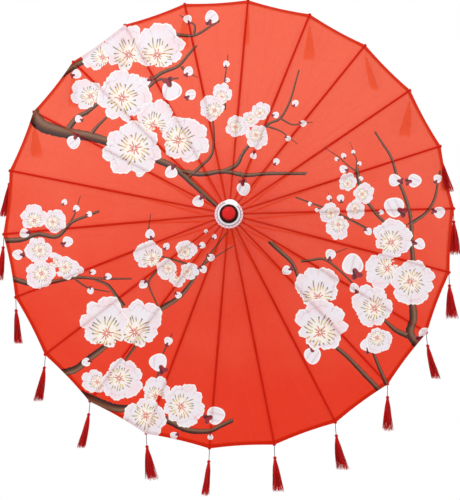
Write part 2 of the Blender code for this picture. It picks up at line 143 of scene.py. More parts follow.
FLOOR_Z = -1.15
FLOOR_RADIUS = 3.3
FLOOR_SIDES = 96
floor_angles = math.tau * np.arange(FLOOR_SIDES) / FLOOR_SIDES
floor_mesh = bpy.data.meshes.new("floor")
floor_ring = FLOOR_RADIUS * np.stack([np.cos(floor_angles), np.sin(floor_angles)])
floor_points = np.stack([*floor_ring, FLOOR_Z + 0 * floor_angles], axis=1)
floor_mesh.from_pydata(floor_points.tolist(), [], [list(range(FLOOR_SIDES))])
floor = bpy.data.objects.new("floor", floor_mesh)
bpy.context.scene.collection.objects.link(floor)
floor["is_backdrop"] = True
print("eye", [round(x, 2) for x in camera.location])

# %% [markdown]
# ## A small language for shaders
#
# A pattern on a surface is arithmetic: how far a point lies inside a petal's outline, and so on. These
# helpers let the arithmetic be written as plain formulas. Each `Value` is a number that the shader works out
# at every point, and each sign between two of them adds one math node.


# %% Shader arithmetic
def plug(tree, item, socket):
    """Connects a Value or a socket, or sets a plain number or colour."""
    if isinstance(item, Value):
        tree.links.new(item.socket, socket)
    elif isinstance(item, bpy.types.NodeSocket):
        tree.links.new(item, socket)
    elif isinstance(item, tuple) and len(item) == 3 and socket.type == "RGBA":
        socket.default_value = (*item, 1)
    else:
        socket.default_value = item


class Value:
    """A number worked out at each point of a surface."""

    def __init__(self, tree, socket):
        self.tree = tree
        self.socket = socket

    def math(self, operation, *others):
        node = self.tree.nodes.new("ShaderNodeMath")
        node.operation = operation
        for item, socket in zip((self, *others), node.inputs):
            plug(self.tree, item, socket)
        return Value(self.tree, node.outputs[0])

    def __add__(self, other):
        return self.math("ADD", other)

    def __sub__(self, other):
        return self.math("SUBTRACT", other)

    def __mul__(self, other):
        return self.math("MULTIPLY", other)

    def __neg__(self):
        return self.math("MULTIPLY", -1.0)

    __radd__ = __add__
    __rmul__ = __mul__

    def __rsub__(self, other):
        return -self + other

    def __pow__(self, other):
        return self.math("POWER", other)

    def sin(self):
        return self.math("SINE")

    def cos(self):
        return self.math("COSINE")

    def abs(self):
        return self.math("ABSOLUTE")

    def rise(self, low, high):
        """0 below `low`, 1 above `high` and an even S between them. With low above high it falls instead."""
        node = self.tree.nodes.new("ShaderNodeMapRange")
        node.interpolation_type = "SMOOTHSTEP"
        plug(self.tree, self, node.inputs["Value"])
        plug(self.tree, low, node.inputs["From Min"])
        plug(self.tree, high, node.inputs["From Max"])
        return Value(self.tree, node.outputs[0])


def length(a, b):
    """The long side of a right-angled triangle with the sides a and b."""
    return (a * a + b * b).math("SQRT")


def split(tree, socket):
    """The three numbers of a vector socket."""
    node = tree.nodes.new("ShaderNodeSeparateXYZ")
    tree.links.new(socket, node.inputs[0])
    return [Value(tree, out) for out in node.outputs]


def join(tree, x, y, z):
    """A vector socket from three numbers."""
    node = tree.nodes.new("ShaderNodeCombineXYZ")
    for item, socket in zip((x, y, z), node.inputs):
        plug(tree, item, socket)
    return node.outputs[0]


def attribute(tree, name):
    """What a piece's own points or corners carry under this name."""
    node = tree.nodes.new("ShaderNodeAttribute")
    node.attribute_name = name
    return node


def blend(tree, share, below, above):
    """The colour `below`, covered by `above` as far as `share` says."""
    node = tree.nodes.new("ShaderNodeMix")
    node.data_type = "RGBA"
    plug(tree, share, node.inputs["Factor"])
    plug(tree, below, node.inputs["A"])
    plug(tree, above, node.inputs["B"])
    return node.outputs["Result"]


def noise(tree, place, scale, detail=3.0):
    """Soft clouds from 0 to 1, about 1 / scale metres across."""
    node = tree.nodes.new("ShaderNodeTexNoise")
    node.inputs["Scale"].default_value = scale
    node.inputs["Detail"].default_value = detail
    tree.links.new(place, node.inputs["Vector"])
    return Value(tree, node.outputs["Fac"])


def ink(red, green, blue):
    """A colour given in the 0 to 255 of a paint chart, as the linear numbers that shaders use."""
    chart = (channel / 255 for channel in (red, green, blue))
    return tuple(c / 12.92 if c <= 0.04045 else ((c + 0.055) / 1.055) ** 2.4 for c in chart)


def bump(tree, height, depth, normal=None):
    """Raised detail: `height` from 0 to 1 stands for `depth` metres."""
    node = tree.nodes.new("ShaderNodeBump")
    node.inputs["Distance"].default_value = depth
    plug(tree, height, node.inputs["Height"])
    if normal is not None:
        tree.links.new(normal, node.inputs["Normal"])
    return node.outputs[0]


def new_material(name):
    """A material with its tree, its Principled shader and the object's own coordinates."""
    material = bpy.data.materials.new(name)
    material.use_nodes = True
    tree = material.node_tree
    shader = tree.nodes["Principled BSDF"]
    place = tree.nodes.new("ShaderNodeTexCoord").outputs["Object"]
    return material, tree, shader, place


def set_shader(shader, **values):
    """Sets sockets by their names, with _ for a space."""
    for name, item in values.items():
        plug(shader.id_data, item, shader.inputs[name.replace("_", " ")])


print("a mid grey is", [round(c, 3) for c in ink(128, 128, 128)])

# %% [markdown]
# ## One printed blossom
#
# The print is made of stamps. Each stamp has its own flat coordinates (u, v): the heart is at 0, 0 and the
# petals end near 1. In polar form the outline is
#
# reach = 0.79 + 0.17 |cos(n a / 2)|^0.6 + ripples - 0.2 tilt (1 - cos a),
#
# which gives n rounded petals, drawn flatter on one side when the flower is seen tilted. The stamens are
# strokes: the turn about the heart is cut into equal slices, and each slice holds one stroke with its own
# bend and its own two ends. A bud is a white round with its dark calyx on the side of the twig.

# %% One printed blossom
PETAL = ink(238, 231, 237)
PETAL_BLUSH = ink(246, 214, 220)
PETAL_FOLD = ink(212, 172, 184)
PETAL_EDGE = ink(255, 250, 246)
OUTLINE = ink(178, 66, 60)
HEART_GLOW = ink(255, 248, 226)
STAMEN_GOLD = ink(206, 172, 62)
STAMEN_TIP = ink(112, 84, 34)
HEART_STROKE = ink(208, 66, 34)
CALYX = ink(150, 42, 52)
CALYX_DARK = ink(84, 22, 30)


def stamens(x, y, seed, count, bend):
    """Distance from the stroke of a point's own slice, distance from the heart, and the slice's two lots."""
    out = length(x, y)
    slices = y.math("ARCTAN2", x) * (count / math.tau)
    number = slices.math("ROUND")
    first_lot = (number * 2.4 + seed).sin()
    second_lot = (number * 5.1 + 2 * seed).sin()
    centre = 0.1 * first_lot + bend * second_lot * (out - 0.32)
    return (slices - number - centre).abs() * out * (math.tau / count), out, first_lot, second_lot


def blossom_group():
    """The stamp as a node group: where and what it is go in, its colour and its cover come out."""
    tree = bpy.data.node_groups.new("blossom", "ShaderNodeTree")
    for name in ("Place", "Style"):
        tree.interface.new_socket(name, in_out="INPUT", socket_type="NodeSocketVector")
    tree.interface.new_socket("Color", in_out="OUTPUT", socket_type="NodeSocketColor")
    tree.interface.new_socket("Cover", in_out="OUTPUT", socket_type="NodeSocketFloat")
    entry = tree.nodes.new("NodeGroupInput")
    result = tree.nodes.new("NodeGroupOutput")
    u, v, seed = split(tree, entry.outputs["Place"])
    petals, tilt, is_bud = split(tree, entry.outputs["Style"])

    # Outline of an open flower, with uneven petals.
    angle = v.math("ARCTAN2", u)
    reach = length(u, v)
    uneven = angle + 0.22 * (2 * angle + seed).sin()
    petal = (uneven * petals * 0.5 + seed).cos().abs()
    ripple = 0.022 * (7 * angle + 5 * seed).sin() + 0.018 * (13 * angle + 3 * seed).sin()
    ripple = ripple + 0.011 * (29 * angle + seed).sin()
    flatter = 0.2 * tilt * (1 - angle.cos())
    lopsided = 0.035 * (2 * angle + 3 * seed).sin() + 0.03 * (3 * angle + 2 * seed).sin()
    outline = 0.79 + 0.17 * petal**0.6 + ripple + lopsided - flatter
    inside = outline - reach

    # Petals: blush, folds between them, part of a second ring in front, and a pale edge in a fine outline.
    clouds = (5 * u + 2 * seed).sin() * (4 * v + 3 * seed).sin()
    colour = blend(tree, 0.5 * clouds.rise(-0.5, 0.9), PETAL, PETAL_BLUSH)
    fold = petal.rise(0.16, 0.0) * reach.rise(0.45, 0.75)
    colour = blend(tree, 0.75 * fold, colour, PETAL_FOLD)
    veins = (angle * 23 + 4 * reach).sin().rise(0.5, 1.0) * reach.rise(0.5, 0.8)
    colour = blend(tree, 0.14 * veins, colour, PETAL_FOLD)
    front = (uneven * petals * 0.5 + seed + 0.8).cos().abs()
    front_line = (0.62 + 0.12 * front**0.6 + ripple - 0.6 * flatter) - reach
    shown = (2 * angle + 3 * seed).sin().rise(-0.3, 0.5)
    colour = blend(tree, 0.6 * shown * front_line.abs().rise(0.022, 0.004), colour, PETAL_FOLD)
    colour = blend(tree, 0.8 * inside.rise(0.07, 0.03), colour, PETAL_EDGE)
    colour = blend(tree, 0.8 * inside.rise(0.012, -0.01), colour, OUTLINE)

    # Heart and stamens, off centre when the flower is tilted.
    x = u + 0.34 * tilt
    away, out, first_lot, second_lot = stamens(x, v, seed, 21, 2.1)
    colour = blend(tree, 0.6 * out.rise(0.5, 0.2), colour, HEART_GLOW)
    near = 0.31 + 0.07 * second_lot
    far = 0.49 + 0.06 * first_lot + 0.14 * tilt * v.math("ARCTAN2", x).cos()
    stroke = away.rise(0.026, 0.012) * out.rise(far + 0.015, far - 0.015) * out.rise(near - 0.02, near + 0.02)
    gold = blend(tree, out.rise(0.36, 0.52), STAMEN_GOLD, STAMEN_TIP)
    colour = blend(tree, 0.9 * stroke, colour, gold)
    anther = length(away, out - far).rise(0.036, 0.022)
    colour = blend(tree, 0.85 * anther, colour, blend(tree, first_lot.rise(-0.2, 0.2), STAMEN_TIP, STAMEN_GOLD))
    away, out, first_lot, _ = stamens(x, v, 2 * seed, 11, 0.8)
    end = 0.20 + 0.07 * first_lot
    middle = away.rise(0.025, 0.01) * out.rise(end + 0.02, end - 0.02) * out.rise(0.02, 0.05)
    colour = blend(tree, 0.9 * middle, colour, HEART_STROKE)

    # Bud: a round of petals, with the calyx on the side that u leaves.
    around = v.math("ARCTAN2", u - 0.1)
    bud_inside = 0.82 + 0.05 * (3 * around + seed).sin() - length(u - 0.1, v)
    overlap = (3 * v + 2 * u + seed).sin()
    bud = blend(tree, 0.5 * overlap.rise(0.0, 0.35) * overlap.rise(0.9, 0.3), PETAL, PETAL_FOLD)
    bud = blend(tree, 0.8 * bud_inside.rise(0.16, 0.08), bud, PETAL_EDGE)
    bud = blend(tree, 0.6 * bud_inside.rise(0.01, -0.03), bud, OUTLINE)
    stem_side = 0.40 + 0.12 * (3 * v.math("ARCTAN2", u + 0.72)).cos() - length(u + 0.72, v)
    bud = blend(tree, stem_side.rise(-0.03, 0.03), bud, blend(tree, (v * 9).sin(), CALYX, CALYX_DARK))
    bud_cover = bud_inside.math("MAXIMUM", stem_side)

    soft_edge = 0.02
    colour = blend(tree, is_bud, colour, bud)
    cover = is_bud * bud_cover.rise(-soft_edge, soft_edge) + (1 - is_bud) * inside.rise(-soft_edge, soft_edge)
    plug(tree, colour, result.inputs["Color"])
    plug(tree, cover, result.inputs["Cover"])
    return tree


BLOSSOM = blossom_group()
print("the blossom stamp has", len(BLOSSOM.nodes), "nodes")

# %% [markdown]
# ## The design
#
# The print is seven sprays of plum blossom on branches that reach in from the rim. It is laid out flat, as
# the open umbrella looks from the front, in centimetres from the middle of the rim: x to the right and z up.
# Flowers are listed from the top of the pile down, each with its size, the way it faces in degrees, its
# number of petals and how far it is tilted away. A bud has its place, its size and the way it faces.

# %% The design, in centimetres
FLOWERS = [
    # Upper left spray
    (-8.6, 16.4, 5.2, 10, 6, 0.5),
    (-17.9, 14.6, 5.7, 205, 7, 0.15),
    (-13.8, 20.0, 4.2, 65, 6, 0.7),
    (-19.7, 24.4, 5.5, 40, 6, 0.2),
    (-26.4, 24.8, 3.4, 150, 5, 0.5),
    (-13.2, 33.4, 5.4, 78, 7, 0.6),
    (-19.4, 33.4, 5.2, 120, 7, 0.7),
    (-24.6, 32.2, 3.6, 160, 6, 0.8),
    # Upper middle spray
    (-3.0, 22.2, 2.8, 130, 5, 0.5),
    (-1.3, 24.8, 2.3, 80, 5, 0.6),
    (1.4, 18.8, 2.4, 20, 5, 0.3),
    (5.9, 21.6, 2.0, 60, 5, 0.4),
    (4.0, 20.2, 1.7, 200, 5, 0.2),
    (5.2, 17.0, 2.5, 300, 6, 0.3),
    # Right spray, the small flowers
    (22.1, 8.3, 1.9, 90, 5, 0.3),
    (25.0, 6.2, 2.2, 20, 5, 0.3),
    (23.5, 3.3, 2.0, 300, 5, 0.2),
    (18.8, 2.6, 2.1, 160, 5, 0.2),
    (20.2, 0.1, 2.6, 250, 6, 0.4),
    # Right spray, the large ones
    (30.3, -2.4, 4.2, 60, 6, 0.4),
    (33.8, -10.3, 4.6, 330, 7, 0.2),
    (28.6, -8.0, 3.9, 200, 6, 0.6),
    (26.6, -14.8, 4.3, 130, 6, 0.3),
    # Lower right spray
    (17.0, -18.6, 5.6, 80, 7, 0.5),
    (16.4, -11.8, 5.0, 95, 6, 0.8),
    (27.5, -20.9, 2.8, 300, 5, 0.4),
    # Left spray
    (-32.4, 1.0, 2.5, 20, 5, 0.4),
    (-36.2, 1.6, 2.8, 100, 5, 0.5),
    (-35.2, -4.4, 2.7, 180, 6, 0.2),
    (-34.8, -8.8, 3.0, 220, 5, 0.2),
    (-32.4, -6.4, 1.8, 80, 5, 0.5),
    (-30.1, -7.6, 2.5, 340, 6, 0.3),
    # Lower left spray
    (-22.8, -18.4, 5.6, 100, 7, 0.7),
    (-16.8, -18.4, 5.2, 60, 6, 0.7),
    (-19.8, -28.2, 4.3, 330, 7, 0.3),
    (-24.6, -28.6, 2.6, 170, 5, 0.5),
    (-8.4, -33.0, 4.4, 20, 7, 0.3),
    (-15.4, -35.2, 4.4, 250, 7, 0.3),
    (-13.4, -30.6, 3.1, 80, 5, 0.6),
    # Middle left spray
    (-14.7, -5.4, 3.2, 130, 5, 0.7),
    (-8.0, -4.4, 2.2, 60, 5, 0.4),
    (-11.4, -7.8, 2.2, 200, 5, 0.3),
    (-7.4, -8.2, 1.9, 10, 5, 0.4),
    (-9.6, -9.6, 1.7, 300, 5, 0.4),
]
BUDS = [
    (-2.7, -1.8, 0.7, 60), (-4.2, -0.8, 0.6, 130),
    (-10.8, 25.8, 2.2, 290), (-15.6, 27.4, 1.4, 200), (-28.9, 16.0, 1.6, 250), (-10.7, 10.4, 1.5, 250),
    (-7.7, 39.0, 1.1, 110), (-3.3, 39.4, 1.6, 70), (-5.6, 4.9, 1.4, 230), (2.7, 7.3, 1.6, 280),
    (-28.0, 20.2, 1.0, 160), (-7.6, 29.2, 1.2, 60), (-0.5, 30.6, 0.9, 80), (-0.3, 27.6, 0.7, 0),
    (12.4, 23.2, 0.9, 60), (13.8, 19.4, 0.9, 350), (11.0, 16.6, 0.8, 330), (8.7, 21.0, 0.9, 10),
    (4.6, 13.4, 0.9, 260), (8.8, 12.2, 0.9, 60), (31.0, 8.7, 1.5, 170), (34.4, 8.6, 1.6, 10),
    (30.9, 3.6, 2.2, 150), (38.9, 2.7, 1.4, 350), (35.2, -3.2, 1.4, 350), (38.8, 8.9, 1.1, 60),
    (25.8, -0.8, 1.0, 330), (23.0, -7.2, 2.3, 110), (23.2, -11.4, 1.2, 120),
    (18.8, -5.2, 1.3, 80),
    (-37.8, -1.2, 1.2, 190), (-28.4, 3.4, 0.9, 60), (-30.6, 4.6, 0.8, 60),
    (-26.0, 2.4, 0.8, 20), (-30.0, -2.8, 1.3, 30), (-39.0, -5.2, 1.3, 180), (-27.6, -8.0, 1.0, 340),
    (-25.2, -8.4, 0.8, 10), (-22.4, -9.2, 0.9, 20), (-25.6, -11.8, 0.9, 280), (-11.2, -21.2, 1.1, 70),
    (-12.9, -25.2, 2.0, 120), (-2.6, -34.8, 2.0, 20), (-3.4, -38.6, 0.8, 280), (-10.0, -38.4, 1.0, 200),
    (-26.2, -25.0, 1.1, 200), (-14.6, -1.4, 1.2, 110), (-5.0, -3.4, 0.9, 20), (-3.4, -5.6, 1.0, 330),
    (-4.8, -7.8, 1.0, 330), (-15.8, -10.6, 1.1, 230), (-9.4, -12.6, 0.9, 330), (-11.6, -3.6, 0.9, 60),
    (10.8, -8.0, 1.2, 200), (36.2, -20.2, 1.8, 30), (25.4, -22.0, 1.5, 110),
    (-16.6, 10.2, 1.1, 280), (-7.2, 24.8, 1.3, 40), (15.4, -23.6, 1.9, 270), (-28.6, 28.6, 1.2, 20),
    (20.1, 12.7, 0.6, 150), (21.4, 13.3, 0.75, 110), (21.4, 10.8, 1.05, 160), (23.2, 14.0, 0.6, 90),
    (24.3, 11.8, 0.65, 60), (24.5, 9.0, 0.7, 30), (18.7, 5.4, 0.75, 130), (20.8, 5.3, 1.0, 100),
    (15.1, 4.3, 0.65, 150), (16.4, 3.2, 0.65, 230), (28.2, 2.7, 0.75, 20),
]
# Each branch: its widths at the two ends, and the points that it is bent through.
BRANCHES = [
    (2.6, 1.5, [(-36.9, 21.4), (-34.8, 18.9), (-30.4, 17.6), (-26.0, 16.9), (-22.0, 15.8)]),
    (1.3, 0.7, [(-13.4, 12.6), (-10.0, 11.0), (-7.4, 8.7), (-5.2, 6.6), (-3.2, 4.8), (-1.6, 3.4)]),
    (1.2, 0.6, [(-30.4, 17.6), (-28.4, 20.4), (-26.4, 21.6), (-24.4, 23.2)]),
    (0.8, 0.4, [(-26.0, 16.9), (-24.6, 18.8), (-22.8, 20.6)]),
    (0.8, 0.5, [(-16.0, 26.0), (-12.8, 28.8), (-9.6, 30.2), (-7.4, 32.6)]),
    (1.2, 0.9, [(-30.6, 29.0), (-27.0, 31.2), (-23.6, 32.6)]),
    (0.7, 0.4, [(-17.0, 24.2), (-13.6, 27.4), (-11.2, 27.8)]),
    (0.7, 0.4, [(-10.0, 36.2), (-6.6, 36.0), (-3.4, 37.8)]),
    (0.5, 0.3, [(-6.6, 36.0), (-6.4, 37.8), (-7.4, 38.6)]),
    (0.5, 0.3, [(-8.6, 29.8), (-8.2, 29.2), (-7.4, 28.8)]),
    (0.7, 0.3, [(-7.6, 9.2), (-5.2, 11.4), (-3.2, 13.6), (-2.8, 17.0), (-3.0, 20.0)]),
    (1.0, 0.6, [(-9.0, 10.4), (-5.0, 9.9), (-1.0, 10.4), (3.0, 9.7), (7.4, 10.0), (12.2, 10.0)]),
    (0.9, 0.5, [(-1.0, 10.4), (1.4, 11.6), (2.6, 13.8), (4.0, 15.6)]),
    (0.6, 0.3, [(3.2, 14.6), (7.0, 19.0), (9.6, 20.4), (11.4, 23.6), (12.6, 27.6)]),
    (0.4, 0.2, [(9.6, 20.4), (11.8, 19.2), (13.8, 19.4)]),
    (0.4, 0.2, [(7.4, 18.8), (9.6, 18.0), (11.2, 16.8)]),
    (0.4, 0.2, [(-0.8, 24.2), (-0.8, 27.2), (-0.4, 30.4)]),
    (0.6, 0.3, [(2.2, 9.9), (3.0, 8.9), (3.2, 8.2)]),
    (0.4, 0.9, [(28.4, 16.0), (30.2, 13.0), (31.4, 9.0), (32.8, 5.4), (33.8, 1.2), (33.9, -3.6), (34.2, -8.0)]),
    (0.4, 0.7, [(38.9, 8.4), (38.2, 5.2), (36.6, 2.6), (33.8, 0.6)]),
    (0.8, 0.5, [(23.8, 10.6), (24.8, 6.4), (27.2, 2.6), (29.4, 0.4)]),
    (0.3, 0.15, [(23.8, 10.2), (21.7, 11.9), (20.6, 13.0), (19.4, 13.8)]),
    (0.3, 0.15, [(23.6, 10.4), (23.8, 12.3), (23.3, 13.9)]),
    (0.5, 0.3, [(29.0, -2.0), (25.8, -0.4), (22.4, 1.4), (18.6, 3.2), (14.4, 4.8)]),
    (0.3, 0.15, [(19.4, 3.0), (19.0, 4.2), (18.8, 5.0)]),
    (0.8, 0.5, [(9.4, -4.4), (11.8, -6.8), (13.0, -9.8), (14.2, -13.0)]),
    (0.5, 0.3, [(14.8, -6.2), (17.6, -6.0), (20.4, -8.0), (23.4, -11.0)]),
    (0.35, 0.2, [(17.6, -6.0), (18.6, -5.2), (20.2, -4.6)]),
    (1.3, 1.7, [(33.8, -13.6), (34.0, -17.0), (33.4, -19.8), (35.6, -22.8)]),
    (0.6, 1.1, [(29.0, -17.6), (30.8, -19.2), (33.0, -20.2)]),
    (0.5, 0.8, [(26.4, -22.8), (27.4, -25.4), (28.8, -28.8)]),
    (0.7, 1.0, [(19.4, -22.0), (22.0, -24.2), (25.4, -27.8), (29.6, -32.2)]),
    (1.0, 0.5, [(-41.0, -2.6), (-38.4, -2.4), (-35.4, -1.4), (-31.8, -1.8), (-29.2, 0.8), (-26.0, 2.2)]),
    (0.4, 0.2, [(-30.2, -0.2), (-28.8, 2.0), (-28.2, 3.8)]),
    (1.0, 0.35, [(-39.6, -9.8), (-36.4, -10.6), (-32.4, -10.2), (-28.4, -9.4), (-24.6, -9.6), (-20.2, -9.6)]),
    (0.4, 0.2, [(-28.8, -9.4), (-26.2, -11.2), (-22.4, -12.0)]),
    (0.7, 0.45, [(-20.8, -12.8), (-22.4, -10.8), (-24.8, -9.8)]),
    (1.0, 1.5, [(-22.6, -22.0), (-25.8, -24.4), (-28.4, -26.4), (-31.8, -27.2)]),
    (0.5, 0.3, [(-17.6, -22.6), (-19.0, -24.6), (-19.8, -26.6)]),
    (1.2, 1.8, [(-17.6, -33.4), (-21.0, -33.4), (-25.0, -32.0)]),
    (1.2, 0.8, [(-11.4, -35.6), (-7.6, -37.4), (-3.8, -37.6), (-1.4, -36.6)]),
    (0.4, 0.25, [(-13.2, -28.2), (-12.6, -24.6), (-11.4, -21.8)]),
    (0.25, 1.1, [(-1.6, -2.6), (-3.6, -5.2), (-5.8, -8.6), (-8.8, -12.6), (-12.0, -14.8), (-14.4, -16.4)]),
    (0.5, 0.3, [(-5.6, -8.0), (-8.6, -6.6), (-12.0, -5.6)]),
    (0.4, 0.25, [(-13.4, -8.2), (-14.8, -10.4), (-13.6, -13.6), (-12.8, -15.2)]),
    (0.35, 0.2, [(-14.4, -3.8), (-15.0, -1.6), (-14.8, 0.4)]),
    (0.3, 0.2, [(-5.2, -7.4), (-3.6, -6.2), (-1.0, -4.6)]),
]
print(len(FLOWERS), "flowers,", len(BUDS), "buds and", len(BRANCHES), "branches")

# %% [markdown]
# ## Stamping the design on the cloth
#
# The cloth is a fine net of squares about 5 mm wide. Each square only has to know which stamps reach it, so
# each is given at most two, the upper and the lower, and its corners carry their (u, v). Between corners the
# shader finds every point of the flower by itself, so its outline stays sharp however close one looks. A
# branch is kept the same way: each corner carries its distance from the nearest branch's middle line.
#
# On the real umbrella the flat pattern is cut into gores for the cone. It sits a little low on the cloth, and
# towards the hub it comes out lower still and smaller than it was drawn, by the share q = 1 - r / R.

# %% Stamping
CM = 0.01
FAR_AWAY = 9.0
SQUARE_REACH = 0.0035
STAMP_REACH = 1.04
STAMP_SOLID = 0.5
TWIG_REACH = 0.02
TWIG_SEARCH = 0.035
PRINT_DROP = 0.0095
HUB_DROP = 0.015
HUB_SHRINK = 0.067
BUD_SHARE, BUD_POWER, BUD_LEAST = 0.84, 1.25, 0.45


def drawn_at(points):
    """The place on the flat drawing, (x, z) in metres, of points on the cloth."""
    near_hub = 1 - np.hypot(points[..., 0], points[..., 2]) / OPEN_RADIUS
    grown = 1 + HUB_SHRINK * near_hub
    drop = PRINT_DROP + HUB_DROP * near_hub
    return np.stack([points[..., 0] * grown, points[..., 2] * grown + drop], axis=-1)


def stamp_table():
    """One row for each stamp, the top one first: x, z, size, facing, seed, petals, tilt, is it a bud.
    A bud listed as s cm is drawn 0.84 s^1.25 cm in size, so that the small ones shrink most, but never
    under 0.45 cm."""
    rows = []
    for x, z, size, facing, petals, tilt in FLOWERS:
        rows.append((x * CM, z * CM, size * CM, math.radians(facing), 3.1 * x + 1.7 * z, petals, tilt, 0))
    for x, z, size, facing in BUDS:
        drawn = max(BUD_LEAST, BUD_SHARE * size**BUD_POWER)
        rows.append((x * CM, z * CM, drawn * CM, math.radians(facing), 3.1 * x + 1.7 * z, 3, 0, 1))
    return np.array(rows)


STAMPS = stamp_table()
SEEDS = STAMPS[:, 4] % math.tau


def choose_stamps(middles):
    """For each square's middle, the rows of the upper and the lower stamp that reach it, or -1."""
    chosen = np.full((len(middles), 2), -1)
    hidden = np.zeros(len(middles), bool)
    for row, (x, z, size) in enumerate(STAMPS[:, :3]):
        away = np.hypot(middles[:, 0] - x, middles[:, 1] - z)
        reached = (away < STAMP_REACH * size + SQUARE_REACH) & ~hidden
        lower = reached & (chosen[:, 0] >= 0) & (chosen[:, 1] < 0)
        chosen[lower, 1] = row
        upper = reached & (chosen[:, 0] < 0)
        chosen[upper, 0] = row
        hidden |= away < STAMP_SOLID * size - SQUARE_REACH
    return chosen


def stamp_corners(corners, rows):
    """(u, v, seed) and (petals, tilt, bud) at each corner of squares that carry these stamps."""
    used = STAMPS[rows]
    dx = (corners[..., 0] - used[:, None, 0]) / used[:, None, 2]
    dz = (corners[..., 1] - used[:, None, 1]) / used[:, None, 2]
    cos, sin = np.cos(used[:, 3])[:, None], np.sin(used[:, 3])[:, None]
    u, v = dx * cos + dz * sin, dz * cos - dx * sin
    none = (rows < 0)[:, None]
    u = np.where(none, FAR_AWAY, u)
    place = np.stack([u, v, np.broadcast_to(SEEDS[rows][:, None], u.shape)], axis=-1)
    style = np.broadcast_to(used[:, None, 5:8], u.shape + (3,))
    return place, style


def bent(points, steps=6):
    """A smooth line through the points: a Catmull-Rom curve, `steps` pieces from each point to the next."""
    p = np.array(points, float)
    p = np.vstack([2 * p[0] - p[1], p, 2 * p[-1] - p[-2]])
    t = np.arange(steps)[:, None] / steps
    spans = [
        0.5 * (2 * b + (c - a) * t + (2 * a - 5 * b + 4 * c - d) * t**2 + (3 * b - a - 3 * c + d) * t**3)
        for a, b, c, d in zip(p, p[1:], p[2:], p[3:])
    ]
    return np.vstack([*spans, p[-2:-1]])


def branch_table():
    """Every straight piece of every branch: start, end, half width at each, and length walked so far."""
    rows = []
    for start_width, end_width, points in BRANCHES:
        line = CM * bent(points)
        walked = np.append(0, np.cumsum(np.hypot(*np.diff(line, axis=0).T)))
        half = 0.5 * CM * (start_width + (end_width - start_width) * walked / walked[-1])
        rows.append(np.column_stack([line[:-1], line[1:], half[:-1], half[1:], walked[:-1], walked[1:]]))
    return np.vstack(rows)


TWIGS = branch_table()


def along_twig(points, twigs):
    """For matching rows: signed distance from the twig's line, half width there, length and share along it."""
    ax, az, bx, bz, start_half, end_half, start, end = np.moveaxis(twigs, -1, 0)
    dx, dz = bx - ax, bz - az
    span = np.hypot(dx, dz)
    share = ((points[..., 0] - ax) * dx + (points[..., 1] - az) * dz) / span**2
    aside = ((points[..., 1] - az) * dx - (points[..., 0] - ax) * dz) / span
    return aside, start_half + (end_half - start_half) * share, start + (end - start) * share, share


def branch_corners(corners):
    """(aside, half width, along) at each square's corners, for the twig that comes nearest to its middle."""
    middles = corners.mean(axis=1)
    best = np.full(len(middles), TWIG_REACH)
    nearest = np.full(len(middles), -1)
    for row, twig in enumerate(TWIGS):
        close = np.flatnonzero(np.hypot(*(middles - (twig[:2] + twig[2:4]) / 2).T) < TWIG_SEARCH)
        aside, half, _, share = along_twig(middles[close], twig)
        span = np.hypot(*(twig[2:4] - twig[:2]))
        past = span * np.maximum(np.maximum(share - 1, -share), 0)
        away = np.hypot(aside, past) - half
        better = away < best[close]
        best[close[better]] = away[better]
        nearest[close[better]] = row
    aside, half, along, _ = along_twig(corners, TWIGS[nearest][:, None, :])
    aside = np.where((nearest < 0)[:, None], 1.0, aside)
    return np.stack([aside, half, along], axis=-1)


print(len(STAMPS), "stamps and", len(TWIGS), "pieces of branch")

# %% [markdown]
# ## Helpers for surfaces
#
# Every soft surface is a grid: rows and columns of points from a formula, with a square between each four
# neighbours. A grid can close on itself sideways, as a tube does, or also from its last row to its first.


# %% Grids and tubes
def grid_squares(rows, columns, around=False, closed=False):
    """Corner numbers of the squares of a grid, counted so that rows x columns faces the viewer's side."""
    r = np.arange(rows if closed else rows - 1)
    c = np.arange(columns if around else columns - 1)
    r, c = np.meshgrid(r, c, indexing="ij")
    r_next, c_next = (r + 1) % rows, (c + 1) % columns
    corners = (r * columns + c, r * columns + c_next, r_next * columns + c_next, r_next * columns + c)
    return np.stack(corners, axis=-1).reshape(-1, 4)


def new_piece(name, points, squares, material, slot):
    """An object from points and four-cornered faces."""
    mesh = bpy.data.meshes.new(name)
    mesh.vertices.add(len(points))
    mesh.vertices.foreach_set("co", points.astype(np.float32).ravel())
    mesh.loops.add(squares.size)
    mesh.loops.foreach_set("vertex_index", squares.astype(np.int32).ravel())
    mesh.polygons.add(len(squares))
    mesh.polygons.foreach_set("loop_start", np.arange(0, squares.size, 4, dtype=np.int32))
    mesh.update(calc_edges=True)
    mesh.shade_smooth()
    mesh.materials.append(material)
    obj = bpy.data.objects.new(name, mesh)
    bpy.context.scene.collection.objects.link(obj)
    return obj


def mark(obj, name, values, domain):
    """Keeps a number or a vector for each point or corner of a piece, for its material to read."""
    kind = "FLOAT_VECTOR" if values.shape[-1] == 3 and values.ndim > 1 else "FLOAT"
    held = obj.data.attributes.new(name, kind, domain)
    held.data.foreach_set("vector" if kind == "FLOAT_VECTOR" else "value", values.astype(np.float32).ravel())


def join_meshes(parts):
    """Puts (points, squares) pairs into one."""
    offsets = np.cumsum([0] + [len(points) for points, _ in parts[:-1]])
    points = np.vstack([points for points, _ in parts])
    return points, np.vstack([squares + offset for (_, squares), offset in zip(parts, offsets)])


def ring_tube(lines, radii, sides):
    """Tubes along lines that run more or less downwards: a level ring of `sides` points about each point."""
    turn = math.tau * np.arange(sides) / sides
    ring = np.stack([np.cos(turn), np.sin(turn), 0 * turn], axis=1)
    points = lines[:, :, None, :] + radii[..., None, None] * ring
    count, rows = lines.shape[:2]
    squares = grid_squares(rows, sides, around=True)
    every = (squares[None] + rows * sides * np.arange(count)[:, None, None]).reshape(-1, 4)
    return points.reshape(-1, 3), every


